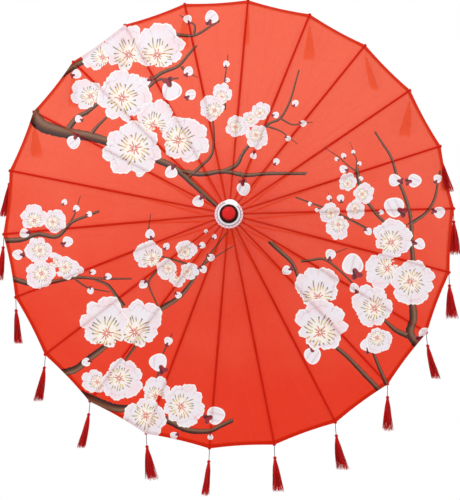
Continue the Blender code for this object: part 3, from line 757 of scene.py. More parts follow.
# %% [markdown]
# ## The cloth's material
#
# Thin polyester cloth lets some light through: the ribs behind it show as darker lines, and so do the
# tassels that hang behind the upper half. So the surface is mostly a matt dyed face, part of it passes the
# light from behind, and a little is simply open between the threads. On the red come the branches, then the
# lower and the upper stamp of each square. Along each rib the red is painted deeper, darkest in a thin core:
# painted shade of the rib behind the cloth. Along the hem, where the cloth is doubled, it is painted deeper
# too, as painted shade where less light comes through. Under the thick ink of a flower these hardly show.
# The upper half is painted paler, as painted light from above, and is made a little more see-through. Near
# the hub the creases, and all over the pull lines, are painted darker and lighter: painted shade and
# highlight. The weave, its slubs and the pull lines towards the hub are bumps.

# %% The cloth's material
# Painted light: the paler red of the upper half.
CLOTH_PAINTED_LIGHT = ink(239, 89, 57)
CLOTH_RED = ink(231, 49, 14)
# Painted shade colours. The deeper red also serves the slubs. The darker one is the rib shade's core and also
# the hem stitches.
SLUB_AND_SHADE_RED = ink(218, 30, 4)
RIB_SHADE_AND_STITCH = ink(172, 18, 4)
BARK = ink(112, 66, 48)
BARK_DARK = ink(48, 22, 20)
BARK_LIGHT = ink(146, 112, 84)
HUB_CREASES = 0.13
THREADS_PER_METRE = 1400


def cloth_material():
    """Red cloth with its print, worked out from `weave` (aside, along) and from the stamps and branches."""
    material, tree, shader, place = new_material("printed_cloth")
    weave = attribute(tree, "weave").outputs["Vector"]
    aside, along, _ = split(tree, weave)

    # Dyed red, a little uneven, with painted light: paler towards the top, less so near the hub.
    # Slubs along and across the threads are a deeper red.
    patches = noise(tree, place, 9, 4)
    pull = noise(tree, join(tree, aside * 140, along * 7, 0.0), 1, 3)
    painted_top_light = (split(tree, place)[2] + 0.3 * (patches - 0.5) + 0.12 * (pull - 0.5)).rise(-0.42, 0.3)
    colour = blend(tree, painted_top_light, CLOTH_RED, CLOTH_PAINTED_LIGHT)
    # Painted shade and highlight: the creases near the hub and the pull lines all over are painted darker and
    # lighter. The same field is also a bump below.
    painted_shade_field = noise(tree, join(tree, aside * 700, along * 13, 2.0), 1, 3) - 0.5
    near_hub = along.rise(HUB_CREASES, 0.02)
    painted_shade_field = painted_shade_field * near_hub + 0.3 * (pull - 0.5)
    colour = blend(tree, 0.6 * near_hub, colour, CLOTH_RED)
    colour = blend(tree, 0.5 * painted_shade_field.rise(0.0, 0.14), colour, SLUB_AND_SHADE_RED)
    colour = blend(tree, 0.5 * painted_shade_field.rise(-0.01, -0.15), colour, CLOTH_PAINTED_LIGHT)
    slub_along = noise(tree, join(tree, aside * 900, along * 60, 0.0), 1, 2)
    slub_across = noise(tree, join(tree, aside * 60, along * 900, 3.0), 1, 2)
    slubs = slub_along.rise(0.52, 0.75) + slub_across.rise(0.52, 0.75)
    colour = blend(tree, 0.22 * slubs, colour, SLUB_AND_SHADE_RED)

    # Painted shade: along each rib the shade of the rib behind the cloth, darkest in a thin core, and along
    # the hem, where the doubled cloth lets less light through. The hem also has a line of stitches.
    rib_line = aside.abs()
    rib_shade_width = 0.0016 + 0.0013 * along.rise(0.0, 0.25)
    rib_shade = (0.6 + 0.25 * along.rise(0.05, 0.2)) * rib_line.rise(rib_shade_width, 0.4 * rib_shade_width)
    rib_shade = rib_shade + 0.15 * rib_line.rise(0.008, 0.002)
    hem = 0.7 * along.rise(RIB_LENGTH - 0.0095, RIB_LENGTH - 0.0085)
    rib_and_hem_shade = rib_shade.math("MAXIMUM", hem)
    colour = blend(tree, rib_and_hem_shade, colour, SLUB_AND_SHADE_RED)
    hem_stitches = (along - (RIB_LENGTH - 0.0092)).abs().rise(0.0011, 0.0003)
    rib_core_shade_and_hem_stitches = rib_line.rise(0.0006, 0.0002).math("MAXIMUM", hem_stitches)
    colour = blend(tree, (0.5 - 0.3 * near_hub) * rib_core_shade_and_hem_stitches, colour, RIB_SHADE_AND_STITCH)

    # Branches.
    off, half, walked = split(tree, attribute(tree, "branch").outputs["Vector"])
    knots = noise(tree, join(tree, walked * 150, half * 90, off.rise(-0.001, 0.001)), 1, 2) - 0.5
    edge = half + 0.5 * half * knots - off.abs()
    side = off + 0.0012 * (noise(tree, join(tree, off * 500, walked * 90, 0.0), 1, 4) - 0.5)
    bark = blend(tree, side.rise(half * 0.2, half * -0.8), BARK, BARK_DARK)
    light = side.rise(half * -0.2, half * 0.4) * side.rise(half * 0.9, half * 0.5)
    bark = blend(tree, 0.6 * light, bark, BARK_LIGHT)
    bark = blend(tree, 0.7 * edge.rise(0.0012, 0.0003), bark, BARK_DARK)
    cracks = noise(tree, join(tree, off * 900, walked * 220, 5.0), 1, 3).rise(0.55, 0.7)
    bark = blend(tree, 0.5 * cracks, bark, BARK_DARK)
    colour = blend(tree, edge.rise(-0.0002, 0.0002), colour, bark)

    # The lower stamp, then the upper one.
    for layer in ("lower", "upper"):
        stamp = tree.nodes.new("ShaderNodeGroup")
        stamp.node_tree = BLOSSOM
        tree.links.new(attribute(tree, layer + "_place").outputs["Vector"], stamp.inputs["Place"])
        tree.links.new(attribute(tree, layer + "_style").outputs["Vector"], stamp.inputs["Style"])
        colour = blend(tree, stamp.outputs["Cover"], colour, stamp.outputs["Color"])
    # The painted rib and hem shade again, faint over the flowers.
    colour = blend(tree, 0.14 * rib_and_hem_shade, colour, SLUB_AND_SHADE_RED)

    warp = (aside * (THREADS_PER_METRE * math.pi)).sin().abs()
    weft = (along * (THREADS_PER_METRE * math.pi)).sin().abs()
    creases = noise(tree, join(tree, aside * 14, along * 34, 7.0), 1, 3)
    normal = bump(tree, warp * weft, 0.00008)
    normal = bump(tree, slubs, 0.00012, normal)
    normal = bump(tree, pull * along.rise(0.3, 0.0) + creases, 0.0018, normal)
    normal = bump(tree, painted_shade_field, 0.0016, normal)
    normal = bump(tree, rib_line.rise(0.003, 0.0006), 0.0006, normal)
    set_shader(shader, Base_Color=colour, Roughness=0.62 + 0.2 * warp, Normal=normal)
    set_shader(shader, Specular_IOR_Level=0.1)

    behind = tree.nodes.new("ShaderNodeBsdfTranslucent")
    plug(tree, colour, behind.inputs["Color"])
    both = tree.nodes.new("ShaderNodeMixShader")
    both.inputs[0].default_value = 0.22
    tree.links.new(shader.outputs[0], both.inputs[1])
    tree.links.new(behind.outputs[0], both.inputs[2])
    gaps = tree.nodes.new("ShaderNodeBsdfTransparent")
    surface = tree.nodes.new("ShaderNodeMixShader")
    # Under the painted top light the upper half is also made a little more see-through.
    plug(tree, (0.012 + 0.03 * painted_top_light) * (1 - 0.8 * rib_and_hem_shade), surface.inputs[0])
    tree.links.new(both.outputs[0], surface.inputs[1])
    tree.links.new(gaps.outputs[0], surface.inputs[2])
    tree.links.new(surface.outputs[0], tree.nodes["Material Output"].inputs["Surface"])
    return material


CLOTH = cloth_material()
print("the cloth's material has", len(CLOTH.node_tree.nodes), "nodes")

# %% [markdown]
# ## The canopy
#
# The canopy is 22 gores, each stretched between two ribs. A point at the share s of the way from rib k to
# rib k + 1, a length l from the pivots, lies on the straight line between the two ribs, pulled inwards by
# up to 1.5 mm in the middle:
#
# P = (1 - s) rib(k, l) + s rib(k + 1, l) - sag sin(pi s) outward.
#
# Its rim is hollowed by 2 mm between the ribs and turned in as a hem 7 mm deep, round the cord that ties
# the tassels on. To fold, each gore is made as two halves, each sewn to its own rib. Real cloth falls into
# pleats between the ribs. Here the halves only turn with their ribs.

# %% The canopy
CLOTH_LIFT = 0.003
CANOPY_START = (0.018 - PIVOT_RADIUS) / math.cos(SLOPE)
RIM_INSET = 0.002
RIM_SCALLOP = 0.002
SAG = 0.0015
HEM_DEPTH = 0.007
HEM_RADIUS = 0.0009
ROWS, COLUMNS = 92, 13


def hem_profile():
    """How the rim's last rows lie: (length beyond the rim, drop below the cloth), round and back under."""
    turn = np.linspace(0, math.pi, 6)
    out, drop = HEM_RADIUS * np.sin(turn), HEM_RADIUS * (1 - np.cos(turn))
    back_along = np.linspace(-0.25, -1, 4) * HEM_DEPTH
    return np.append(out, back_along), np.append(drop, np.full(4, 2 * HEM_RADIUS))


def gore_point(rib, share, along, drop):
    """The formula above, for whole arrays; share may be negative, towards the rib before."""
    lift = CLOTH_LIFT - drop
    other = (rib + (1 if share.max() > 0 else -1)) % RIBS
    ends = [PIVOTS[i] + ALONG[i] * along[..., None] + OUTWARD[i] * lift[..., None] for i in (rib, other)]
    s = np.abs(share)[..., None]
    middle_out = OUTWARD[rib] * (1 - s) + OUTWARD[other] * s
    sag = SAG * np.sin(np.pi * s) * np.minimum(1, along / (0.5 * RIB_LENGTH))[..., None]
    return ends[0] * (1 - s) + ends[1] * s - sag * middle_out


def half_gore(rib, side):
    """One half gore: its points, and (aside, along, 0) of each on the flat cloth."""
    share = side * np.linspace(0, 0.5, COLUMNS)[None, :]
    hollow = 4 * np.abs(share) * (1 - np.abs(share))
    rim = RIB_LENGTH - RIM_INSET - HEM_RADIUS - RIM_SCALLOP * hollow
    body = CANOPY_START + (rim - CANOPY_START) * np.linspace(0, 1, ROWS)[:, None]
    out, drop = hem_profile()
    along = np.vstack([body, rim + out[1:, None]])
    drop = np.vstack([0 * body, drop[1:, None] + 0 * rim])
    share = np.broadcast_to(share, along.shape)
    points = gore_point(rib, share, along, drop)
    width = 2 * math.sin(PITCH / 2) * (PIVOT_RADIUS + along * math.cos(SLOPE))
    return points, np.stack([share * width, along, 0 * along], axis=-1)


def add_half_gore(rib, side, name):
    """One half gore as a piece, with its print, riding on its rib."""
    points, weave = half_gore(rib, side)
    squares = grid_squares(*points.shape[:2])
    if side < 0:
        squares = squares[:, ::-1]
    flat = points.reshape(-1, 3)
    obj = new_piece(name, flat, squares, CLOTH, "red_cloth")
    corners = drawn_at(flat)[squares]
    stamps = choose_stamps(corners.mean(axis=1))
    for layer, rows in (("upper", stamps[:, 0]), ("lower", stamps[:, 1])):
        place, style = stamp_corners(corners, rows)
        mark(obj, layer + "_place", place, "CORNER")
        mark(obj, layer + "_style", style, "CORNER")
    mark(obj, "branch", branch_corners(corners), "CORNER")
    mark(obj, "weave", weave.reshape(-1, 3), "POINT")
    body = f"rib_{rib + 1:02d}"
    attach(obj, body)
    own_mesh(obj)
    return obj


for rib in range(RIBS):
    add_half_gore(rib, 1, f"gore_{rib + 1:02d}_right")
    add_half_gore(rib, -1, f"gore_{rib + 1:02d}_left")
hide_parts("canopy")


# %% [markdown]
# ## Threads and tassels
#
# A tassel hangs from every rib tip, tied to the hem cord. Each is a twisted thread 1.2 mm thick, a wrapped
# head with a neck, and a skirt of 96 fine strands over a fuller core. The thread runs on into the head, 34 mm
# in all. Strand j leaves the neck at the angle 2 pi j / n (and a little more), spreads to its share of the
# skirt's width and hangs down with a slow wave of its own. Every tassel leans its own way and has been combed
# more or less wide, as hanging threads do.
#
# The tassels ride on the shaft, so they stay upright and in place while the umbrella folds. For each one the
# shift to its closed rib's tip is worked out, to the nearer side of the bundle of ribs for those that would
# drop into it, but the shift is not applied.

# %% Thread material
THREAD_RED = ink(206, 12, 12)
THREAD_DARK = ink(152, 3, 4)
THREAD_LIGHT = ink(226, 50, 42)
WAXED_CORD = ink(70, 14, 14)


def thread_material():
    """Dyed rayon: every strand has its own shade, with a silky shine along it. Below 0 it is waxed cord."""
    material, tree, shader, place = new_material("tassel_thread")
    shade = Value(tree, attribute(tree, "shade").outputs["Fac"])
    x, y, z = split(tree, place)
    colour = blend(tree, shade.rise(0.0, 0.6), THREAD_DARK, THREAD_RED)
    colour = blend(tree, 0.7 * shade.rise(0.7, 1.0), colour, THREAD_LIGHT)
    fibres = noise(tree, join(tree, x * 2600, y * 2600, z * 130), 1, 3)
    colour = blend(tree, 0.4 * fibres.rise(0.45, 0.7), colour, THREAD_DARK)
    colour = blend(tree, shade.rise(-0.2, -0.8), colour, WAXED_CORD)
    set_shader(shader, Base_Color=colour, Roughness=0.45 + 0.3 * fibres, Normal=bump(tree, fibres, 0.0004))
    set_shader(shader, Specular_IOR_Level=0.15)
    return material


THREAD = thread_material()

# %% Tassels
THREAD_RADIUS = 0.0006
THREAD_LENGTH = 0.034
THREAD_ROWS, THREAD_SIDES = 20, 8
HEAD_SIDES = 20
STRAND_SIDES = 4
STRAND_RADIUS = 0.0004
LEAN_ASIDE, LEAN_BACK = 0.018, 0.005
HANG = 0.022
SKIRT_END = 0.084
STRANDS = 96
STRAND_ROWS = 10
SKIRT_RADII = (0.006, 0.0135)
HEM_CORD_DROP = 0.0026
CLOSED_SLOPE = math.radians(88)
BUNDLE_SIDE = 0.037
PAST_TIP = 0.003
random = np.random.default_rng(22)


def sway(lean, drop):
    """The middle line of a leaning tassel: it curves away by lean * (drop / end)^1.6."""
    share = np.clip(drop / SKIRT_END, 0, None) ** 1.6
    offset = lean[:, None] * share.ravel()
    return np.stack([offset[0], offset[1], -drop.ravel()], axis=1)


def turned_grid(profile, sides, start, lean):
    """A (radius, drop) profile turned about a tassel's middle line."""
    radius, drop = np.array(profile).T
    turn = math.tau * np.arange(sides) / sides
    ring = np.stack([np.cos(turn), np.sin(turn), 0 * turn], axis=1)
    points = start + sway(lean, drop)[:, None, :] + radius[:, None, None] * ring
    return points.reshape(-1, 3), grid_squares(len(profile), sides, around=True)


def head_profile():
    """The wrapped head, the neck and the core of the skirt, in metres down from the hem."""
    return [(0.0001, HANG - 0.0004)] + [
        (radius * 0.001, HANG + drop * 0.001)
        for radius, drop in (
            (1.2, -0.2), (2.3, 0.6), (3.0, 1.7), (3.2, 2.6), (3.0, 3.6), (2.4, 4.6), (2.0, 5.2), (2.3, 5.5),
            (2.5, 5.9), (2.3, 6.3), (2.1, 6.6), (2.5, 7.6), (2.9, 9.0), (3.0, 20), (3.2, 40), (3.4, 52),
            (2.0, 54), (0.1, 54.5),
        )
    ]


def skirt_strands(start, lean, width):
    """The lines of the strands, (strands, rows, 3), and the radius along each."""
    share = np.linspace(0, 1, STRAND_ROWS)
    turn = math.tau * np.arange(STRANDS) / STRANDS + random.normal(0, 0.08, STRANDS)
    long = SKIRT_END + random.uniform(-0.005, 0.002, STRANDS)
    top = HANG + 0.0064
    drop = top + (long - top)[:, None] * share
    wave = 0.0005 * np.sin(5 * share + random.uniform(0, math.tau, STRANDS)[:, None]) * share
    spread = np.maximum(0.0036, width * random.uniform(0.15, 1, STRANDS)[:, None] ** 0.6)
    out = 0.0022 + 0.0014 * np.minimum(1, 4 * share) + (spread - 0.0036) * share**1.1 + wave
    middle = np.stack([sway(lean, row) for row in drop])
    ring = np.stack([np.cos(turn), np.sin(turn), 0 * turn], axis=1)[:, None, :]
    lines = start + middle + out[..., None] * ring
    return lines, np.broadcast_to(STRAND_RADIUS * (1 - 0.4 * share**3), drop.shape)


def slide_across(obj, shift):
    """Gives a piece its own copy of its mesh. `shift` is not used."""
    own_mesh(obj)


def closed_shift(rib, tip):
    """How far a tassel travels from its rib's open tip to where it hangs on the closed umbrella."""
    out = PIVOT_RADIUS + RIB_LENGTH * math.cos(CLOSED_SLOPE)
    target = out * RADIAL[rib] + (HUB_Y + PAST_TIP + RIB_LENGTH * math.sin(CLOSED_SLOPE)) * Y_AXIS
    if RADIAL[rib, 2] > -0.5:
        target[0] = math.copysign(BUNDLE_SIDE, RADIAL[rib, 0])
    return target - tip


def add_tassel(rib):
    """The thread and the tassel that hang from one rib's tip."""
    tip = PIVOTS[rib] + (RIB_LENGTH - 0.001) * ALONG[rib] - HEM_CORD_DROP * OUTWARD[rib]
    lean = np.array([random.uniform(-LEAN_ASIDE, LEAN_ASIDE), random.uniform(-LEAN_BACK, LEAN_BACK)])
    drop = np.linspace(0, THREAD_LENGTH, THREAD_ROWS)
    line = tip + sway(lean, drop)
    points, squares = ring_tube(line[None], np.full((1, len(line)), THREAD_RADIUS), THREAD_SIDES)
    thread = new_piece(f"thread_{rib + 1:02d}", points, squares, THREAD, "red_thread")
    mark(thread, "shade", np.full(len(points), -1.0), "POINT")

    strands, radii = skirt_strands(tip, lean, random.uniform(*SKIRT_RADII))
    parts = [turned_grid(head_profile(), HEAD_SIDES, tip, lean), ring_tube(strands, radii, STRAND_SIDES)]
    strand_shades = np.repeat(random.uniform(0, 1, STRANDS), STRAND_ROWS * STRAND_SIDES)
    shade = np.append(np.full(len(parts[0][0]), 0.35), strand_shades)
    tassel = new_piece(f"tassel_{rib + 1:02d}", *join_meshes(parts), THREAD, "red_thread")
    mark(tassel, "shade", shade, "POINT")

    for obj in (thread, tassel):
        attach(obj, "shaft_and_hub")
        slide_across(obj, closed_shift(rib, tip))
    return thread, tassel


tassels = [add_tassel(rib) for rib in range(RIBS)]
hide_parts("tassel_ring")
print(len(tassels), "tassels of", len(tassels[0][1].data.polygons), "faces")

# %% [markdown]
# ## Knots at the rib tips
#
# The hem cord is knotted round every rib tip, where the cloth is sewn to it. It shows as a small red nub.
# Each knot is three turns of thread: a tube about a short coil, whose radius grows from 1.9 mm at its ends
# to 2.3 mm in its middle.

# %% Knots
KNOT_RADIUS = 0.0018
KNOT_BULGE = 0.0005
KNOT_THREAD = 0.0006
KNOT_TURNS = 3
KNOT_ROWS, KNOT_SIDES = 72, 6


def add_knot(rib):
    """A tube about the coil r(t) (cos t, sin t), which climbs along the rib by three threads' width in all."""
    turn = np.linspace(0, KNOT_TURNS * math.tau, KNOT_ROWS)
    climb = np.linspace(-1.6, 1.6, len(turn)) * KNOT_THREAD
    bulge = KNOT_RADIUS + KNOT_BULGE * np.cos(np.linspace(-1.4, 1.4, len(turn)))
    side, up = ACROSS[rib], OUTWARD[rib]
    radial = np.cos(turn)[:, None] * side + np.sin(turn)[:, None] * up
    centre = PIVOTS[rib] + (RIB_LENGTH - 0.0012 + climb)[:, None] * ALONG[rib] + 0.0004 * up
    line = centre + bulge[:, None] * radial
    around = math.tau * np.arange(KNOT_SIDES) / KNOT_SIDES
    ring = np.cos(around)[None, :, None] * radial[:, None, :] + np.sin(around)[None, :, None] * ALONG[rib]
    points = line[:, None, :] + KNOT_THREAD * ring
    knot = new_piece(
        f"knot_{rib + 1:02d}",
        points.reshape(-1, 3),
        grid_squares(KNOT_ROWS, KNOT_SIDES, around=True)[:, ::-1],
        THREAD,
        "red_thread",
    )
    mark(knot, "shade", np.full(points.size // 3, 0.6), "POINT")
    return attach(knot, f"rib_{rib + 1:02d}")


knots = [add_knot(rib) for rib in range(RIBS)]
print(len(knots), "knots")

# %% [markdown]
# ## The gathered cap
#
# A stiffened white cloth cap hides the hub. It lies flat on the hub's neck, rolls over at 18 mm and falls to
# the canopy, where its edge is gathered and dyed pink. As a surface it is a ring-shaped profile (r, y) turned
# about the shaft, with pleats that grow towards the edge: both r and y gain w(r) cos(24 a). The end of the
# gathering tape sticks out of it at the top, as a flat loop whose size falls to nothing at both ends.

# %% The cap
CAP_WHITE = ink(255, 253, 253)
CAP_LILAC = ink(158, 126, 150)
CAP_PINK = ink(226, 122, 138)
CAP_EDGE = 0.0240
CAP_PLEATS = 24


def smooth_profile(points, steps=6):
    """The (radius, y) points of a turned profile in millimetres, rounded into a smooth line in metres."""
    return 0.001 * bent(points, steps)


def turned_piece(name, profile, sides, material, slot, closed=False, pleats=0, depth=0.0, from_radius=1.0):
    """A profile (radius, y from the rib pivots' plane) turned about the shaft, pleated outside from_radius:
    fold = depth w^1.5 cos(n a + 0.8 sin 3 a) with w from 0 there to 1 at the edge, and r grows by 0.8 fold."""
    radius, y = profile.T
    turn = math.tau * np.arange(sides) / sides
    grown = np.clip((radius - from_radius) / (CAP_EDGE - from_radius), 0, 1)[:, None] ** 1.5
    fold = depth * grown * np.cos(pleats * turn + 0.8 * np.sin(3 * turn))
    r = radius[:, None] + 0.8 * fold
    points = np.stack([r * np.sin(turn), HUB_Y + y[:, None] + fold, r * np.cos(turn)], axis=-1)
    squares = grid_squares(len(profile), sides, around=True, closed=closed)
    return new_piece(name, points.reshape(-1, 3), squares, material, slot)


def from_shaft(tree, place):
    """Distance from the shaft's middle line, the angle about it, and y."""
    x, y, z = split(tree, place)
    return length(x, z), x.math("ARCTAN2", z), y


def cap_material(name, dyed):
    """White cotton. Only the dyed one has the lilac stitching line and the pink in its pleats."""
    material, tree, shader, place = new_material(name)
    radius, angle, _ = from_shaft(tree, place)
    weave = (angle * 160).sin().abs() * (radius * 5200).sin().abs()
    gathers = noise(tree, join(tree, angle * 9, radius * 160, 0.0), 1, 3)
    colour = blend(tree, 0.12 * gathers.rise(0.4, 0.7), CAP_WHITE, CAP_LILAC)
    stitched = dyed * radius.rise(0.0190, 0.0200) * radius.rise(0.0222, 0.0208)
    colour = blend(tree, 0.9 * stitched, colour, CAP_LILAC)
    valleys = (angle * CAP_PLEATS + 0.8 * (angle * 3).sin()).cos()
    pink = dyed * radius.rise(0.0208, 0.0225) * (0.25 + 0.5 * valleys.rise(-0.6, 1.0))
    colour = blend(tree, pink, colour, CAP_PINK)
    normal = bump(tree, weave, 0.0001)
    normal = bump(tree, gathers, 0.0006, normal)
    normal = bump(tree, 1 - stitched, 0.0004, normal)
    set_shader(shader, Base_Color=colour, Roughness=0.75 + 0.15 * weave, Normal=normal)
    set_shader(shader, Specular_IOR_Level=0.15)
    return material


CAP_PROFILE = [
    (9.5, -3.4), (9.5, -7.6), (10.2, -8.0), (14.0, -8.1), (18.4, -8.1), (19.6, -7.0), (20.6, -6.8),
    (21.8, -6.2), (23.0, -4.4), (24.6, -2.9), (24.4, -2.3), (21.0, -3.0), (17.5, -3.6),
]
cap = turned_piece(
    "gathered_cap",
    smooth_profile(CAP_PROFILE, 4),
    192,
    cap_material("gathered_cap", 1.0),
    "white_cloth",
    closed=True,
    pleats=CAP_PLEATS,
    depth=0.0007,
    from_radius=0.0195,
)

# %% The tape's end
TAPE_FROM, TAPE_TO = math.radians(-20), math.radians(48)
TAPE_RADIUS = 0.0215
TAPE_FRONT = -0.0062
TAPE_SLANT = 0.55
TAPE_HALF_WIDTH = 0.0052
TAPE_HALF_THICKNESS = 0.0004
TAPE_ROWS, TAPE_SIDES = 40, 24


def tape_loop():
    """A flat tube bent about the shaft. At the share s of its length and the turn t about its middle line,
    its size is sqrt(sin pi s), it lies half the width times size cos t out from its own radius, and in y it
    follows the cap's slant, less half the thickness times size sin t."""
    share = np.linspace(0, 1, TAPE_ROWS)[:, None]
    turn = math.tau * np.arange(TAPE_SIDES)[None, :] / TAPE_SIDES
    size = np.sin(np.pi * share) ** 0.5
    angle = TAPE_FROM + (TAPE_TO - TAPE_FROM) * share
    radius = TAPE_RADIUS + TAPE_HALF_WIDTH * size * np.cos(turn) * (1.05 - 0.25 * share)
    y = HUB_Y + TAPE_FRONT + TAPE_SLANT * (radius - TAPE_RADIUS) - TAPE_HALF_THICKNESS * size * np.sin(turn)
    points = np.stack([radius * np.sin(angle), y, radius * np.cos(angle)], axis=-1)
    return points.reshape(-1, 3), grid_squares(TAPE_ROWS, TAPE_SIDES, around=True)


tape = new_piece("tape_end", *tape_loop(), cap_material("tape", 0.0), "white_cloth")
for obj in (cap, tape):
    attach(obj, "shaft_and_hub")
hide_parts("hub_cap")
print("cap and tape:", [len(obj.data.polygons) for obj in (cap, tape)], "faces")

# %% [markdown]
# ## The finial
#
# A turned base ring, lacquered nearly black with a red undertone, holds a glossy red dome. The lacquer is
# brushed on in coats, so it has a smooth clear gloss over faint brush rings. Both pieces are painted darker
# towards their outer edge, most at the lower right: painted shade.

# %% The finial
# The deep colours are painted shade at the outer edge of each lacquered piece.
DARK_LACQUER = ink(40, 5, 8)
DARK_LACQUER_RED = ink(72, 8, 12)
DOME_RED = ink(214, 2, 0)
DOME_SHADE = ink(140, 0, 2)


def lacquer(name, light, deep, deep_radius, gloss):
    """Gloss paint, darker towards `deep_radius` and most at the lower right: painted shade."""
    material, tree, shader, place = new_material(name)
    radius, angle, y = from_shaft(tree, place)
    rings = noise(tree, join(tree, radius * 1500, angle * 0.8, y * 1500), 1, 3)
    cloud = noise(tree, place, 160, 3)
    # Painted shade: darker towards the outer edge, most at the lower right.
    lower_right_shade = 0.75 - 0.25 * (angle + 0.7).cos()
    painted_shade_field = radius.rise(0.6 * deep_radius, deep_radius) * lower_right_shade
    colour = blend(tree, (painted_shade_field + 0.5 * (cloud - 0.45)).rise(0.0, 0.9), light, deep)
    set_shader(shader, Base_Color=colour, Roughness=0.12 + 0.1 * rings, Normal=bump(tree, rings, 0.00006))
    set_shader(shader, Specular_IOR_Level=0.4 * gloss, Coat_Weight=gloss, Coat_Roughness=0.03)
    return material


BASE_PROFILE = [
    (2.9, -8.4), (15.2, -8.4), (16.2, -9.2), (16.4, -10.6), (16.2, -12.0), (15.2, -13.4), (13.8, -14.2),
    (13.0, -14.2), (12.6, -13.8), (2.9, -13.8),
]
DOME_PROFILE = [
    (2.4, -3.9), (2.4, -14.0), (11.6, -14.3), (12.2, -15.4), (12.1, -17.0), (11.2, -19.4), (9.2, -21.8),
    (6.2, -23.7), (3.0, -24.6), (0.02, -24.8),
]
dark_paint = lacquer("dark_lacquer_coat", DARK_LACQUER_RED, DARK_LACQUER, 0.016, 0.12)
red_paint = lacquer("red_lacquer_coat", DOME_RED, DOME_SHADE, 0.0128, 0.32)
base = turned_piece("finial_ring", smooth_profile(BASE_PROFILE), 128, dark_paint, "dark_lacquer", closed=True)
dome = turned_piece("finial_button", smooth_profile(DOME_PROFILE), 128, red_paint, "red_lacquer")
for obj, node in ((base, "finial_base"), (dome, "finial_dome")):
    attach(obj, "shaft_and_hub")
    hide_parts(node)
print("finial:", [len(obj.data.polygons) for obj in (base, dome)], "faces")

# %% [markdown]
# ## Bamboo, wood and wire
#
# The ribs and stretchers are split from bamboo. Its fibres run straight along each rib, and every 9 cm or so
# a darker node crosses it. The angle about the shaft, wrapped to the nearest rib, gives the distance across a
# rib; the distance from the shaft gives the length along it. The hubs, shaft and grip are turned wood: long
# grain along the shaft, with rings about the middle.

# %% Bamboo, wood and wire
BAMBOO = ink(206, 166, 112)
BAMBOO_DARK = ink(150, 104, 58)
BAMBOO_SKIN = ink(222, 190, 138)
NODE_SPACING = 0.093


def bamboo_material():
    """Split bamboo: fine fibres and broad streaks along each rib, with a dark node every 9 cm."""
    material, tree, shader, place = new_material("split_bamboo")
    radius, angle, y = from_shaft(tree, place)
    turns = (angle - FIRST_RIB) * (1 / PITCH)
    nearest = turns.math("ROUND")
    aside = (turns - nearest) * PITCH * radius
    height = y - radius * math.tan(SLOPE)
    fibres = noise(tree, join(tree, aside * 3200, radius * 26, height * 3200), 1, 4)
    streaks = noise(tree, join(tree, aside * 700, radius * 9, nearest * 7), 1, 2)
    colour = blend(tree, fibres.rise(0.35, 0.65), BAMBOO_DARK, BAMBOO)
    colour = blend(tree, 0.6 * streaks.rise(0.45, 0.7), colour, BAMBOO_SKIN)
    ring = (radius * (1 / NODE_SPACING) + nearest * 0.37).math("FRACT") - 0.5
    node = ring.abs().rise(0.022, 0.006)
    colour = blend(tree, 0.7 * node, colour, BAMBOO_DARK)
    normal = bump(tree, fibres, 0.00025)
    normal = bump(tree, node, 0.0005, normal)
    set_shader(shader, Base_Color=colour, Roughness=0.42 + 0.3 * fibres, Normal=normal)
    return material


def wood_material(name, light, dark, gloss):
    """Turned wood: rings about a middle line a little off the shaft's, and pores drawn out along Y."""
    material, tree, shader, place = new_material(name)
    x, y, z = split(tree, place)
    wander = noise(tree, join(tree, x * 60, y * 8, z * 60), 1, 2)
    rings = (length(x + 0.011, z - 0.004) * 2600 + wander * 9).sin().rise(-0.6, 0.9)
    pores = noise(tree, join(tree, x * 2600, y * 70, z * 2600), 1, 3)
    colour = blend(tree, rings, dark, light)
    colour = blend(tree, 0.55 * pores.rise(0.5, 0.72), colour, dark)
    normal = bump(tree, pores, 0.0002)
    set_shader(shader, Base_Color=colour, Roughness=gloss + 0.25 * pores, Normal=normal)
    return material


def wire_material():
    """Drawn steel wire, with fine lines along it."""
    material, tree, shader, place = new_material("drawn_wire")
    radius, angle, y = from_shaft(tree, place)
    drawn = noise(tree, join(tree, radius * 9000, angle * 6, y * 9000), 1, 2)
    colour = blend(tree, drawn.rise(0.3, 0.7), ink(120, 116, 110), ink(188, 184, 176))
    set_shader(shader, Base_Color=colour, Metallic=1.0, Roughness=0.25 + 0.3 * drawn)
    set_shader(shader, Normal=bump(tree, drawn, 0.00005))
    return material


split_bamboo = bamboo_material()
FINISHES = {
    "shaft": wood_material("shaft_grain", ink(176, 132, 88), ink(126, 84, 50), 0.4),
    "top_hub": wood_material("hub_grain", ink(196, 152, 104), ink(146, 102, 62), 0.5),
    "hub_wire": wire_material(),
    "catch": split_bamboo,
}
FINISHES["runner"] = FINISHES["top_hub"]
FINISHES["hub_pin"] = FINISHES["runner_wire"] = FINISHES["hub_wire"]
for rib in range(RIBS):
    FINISHES[f"rib_{rib + 1:02d}"] = FINISHES[f"stretcher_{rib + 1:02d}"] = split_bamboo
for node, material in FINISHES.items():
    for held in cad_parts[node].material_slots:
        held.material = material
print(len(FINISHES), "hard pieces have their own grain")

# %% [markdown]
# ## The grip
#
# The grip is a dark turned handle that swells in the middle, with scored lines at each end, and a lacquered
# cap closes it. Its y is measured from the rib pivots, like the finial's. These two profiles run the other
# way round, from front to back, so their faces are turned to point outwards.

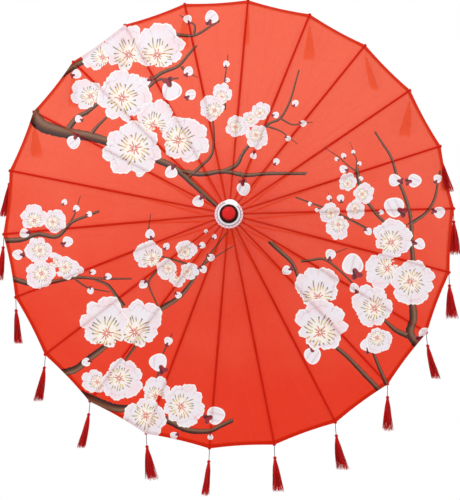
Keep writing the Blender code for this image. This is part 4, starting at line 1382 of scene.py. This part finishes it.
# %% The grip
GRIP_PROFILE = [
    (6.4, 441.0), (9.4, 440.0), (10.2, 441.2), (10.5, 445.0), (10.0, 446.0), (10.6, 447.0), (10.2, 448.2),
    (10.9, 449.4), (11.5, 460.0), (11.9, 475.0), (12.0, 487.0), (11.8, 500.0), (11.3, 514.0), (10.8, 520.6),
    (10.3, 521.8), (10.7, 523.0), (10.2, 524.2), (10.6, 525.4), (10.5, 529.0), (9.8, 530.0), (4.3, 530.0),
    (4.3, 506.0), (6.4, 505.5),
]
END_PROFILE = [
    (0.02, 521.4), (3.6, 521.4), (4.0, 522.4), (4.0, 530.3), (11.4, 530.4), (12.2, 531.2), (12.4, 533.6),
    (12.1, 536.6), (11.2, 539.0), (9.8, 540.2), (0.02, 540.3),
]
grip_wood = wood_material("grip_grain", ink(96, 44, 30), ink(48, 20, 16), 0.25)
grip = turned_piece("turned_grip", smooth_profile(GRIP_PROFILE, 4), 96, grip_wood, "grip_wood", closed=True)
end_cap = turned_piece("grip_end", smooth_profile(END_PROFILE, 4), 96, dark_paint, "dark_lacquer")
for obj, node in ((grip, "handle_grip"), (end_cap, "handle_end_cap")):
    obj.data.flip_normals()
    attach(obj, "shaft_and_hub")
    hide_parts(node)
print("grip:", len(grip.data.polygons), "faces")

# %% [markdown]
# ## Floor
#
# The floor is a plain pale matt disc, well below the umbrella.

# %% The floor's paint
floor_paint, floor_tree, floor_shader, floor_place = new_material("pale_floor")
grain = noise(floor_tree, floor_place, 40, 3)
set_shader(
    floor_shader,
    Base_Color=blend(floor_tree, grain, ink(236, 236, 234), ink(228, 228, 226)),
    Roughness=0.8 + 0.1 * grain,
    Normal=bump(floor_tree, grain, 0.0005),
)
floor.data.materials.append(floor_paint)
print("the floor is", 2 * FLOOR_RADIUS, "m across")

# %% [markdown]
# ## Size of the finished model
#
# The last cell prints the size of the finished model.

# %% Size of the finished model
full_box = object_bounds()
for axis, low, high in zip("xyz", *full_box):
    print(f"{axis}: {1000 * low:.1f} to {1000 * high:.1f} mm")
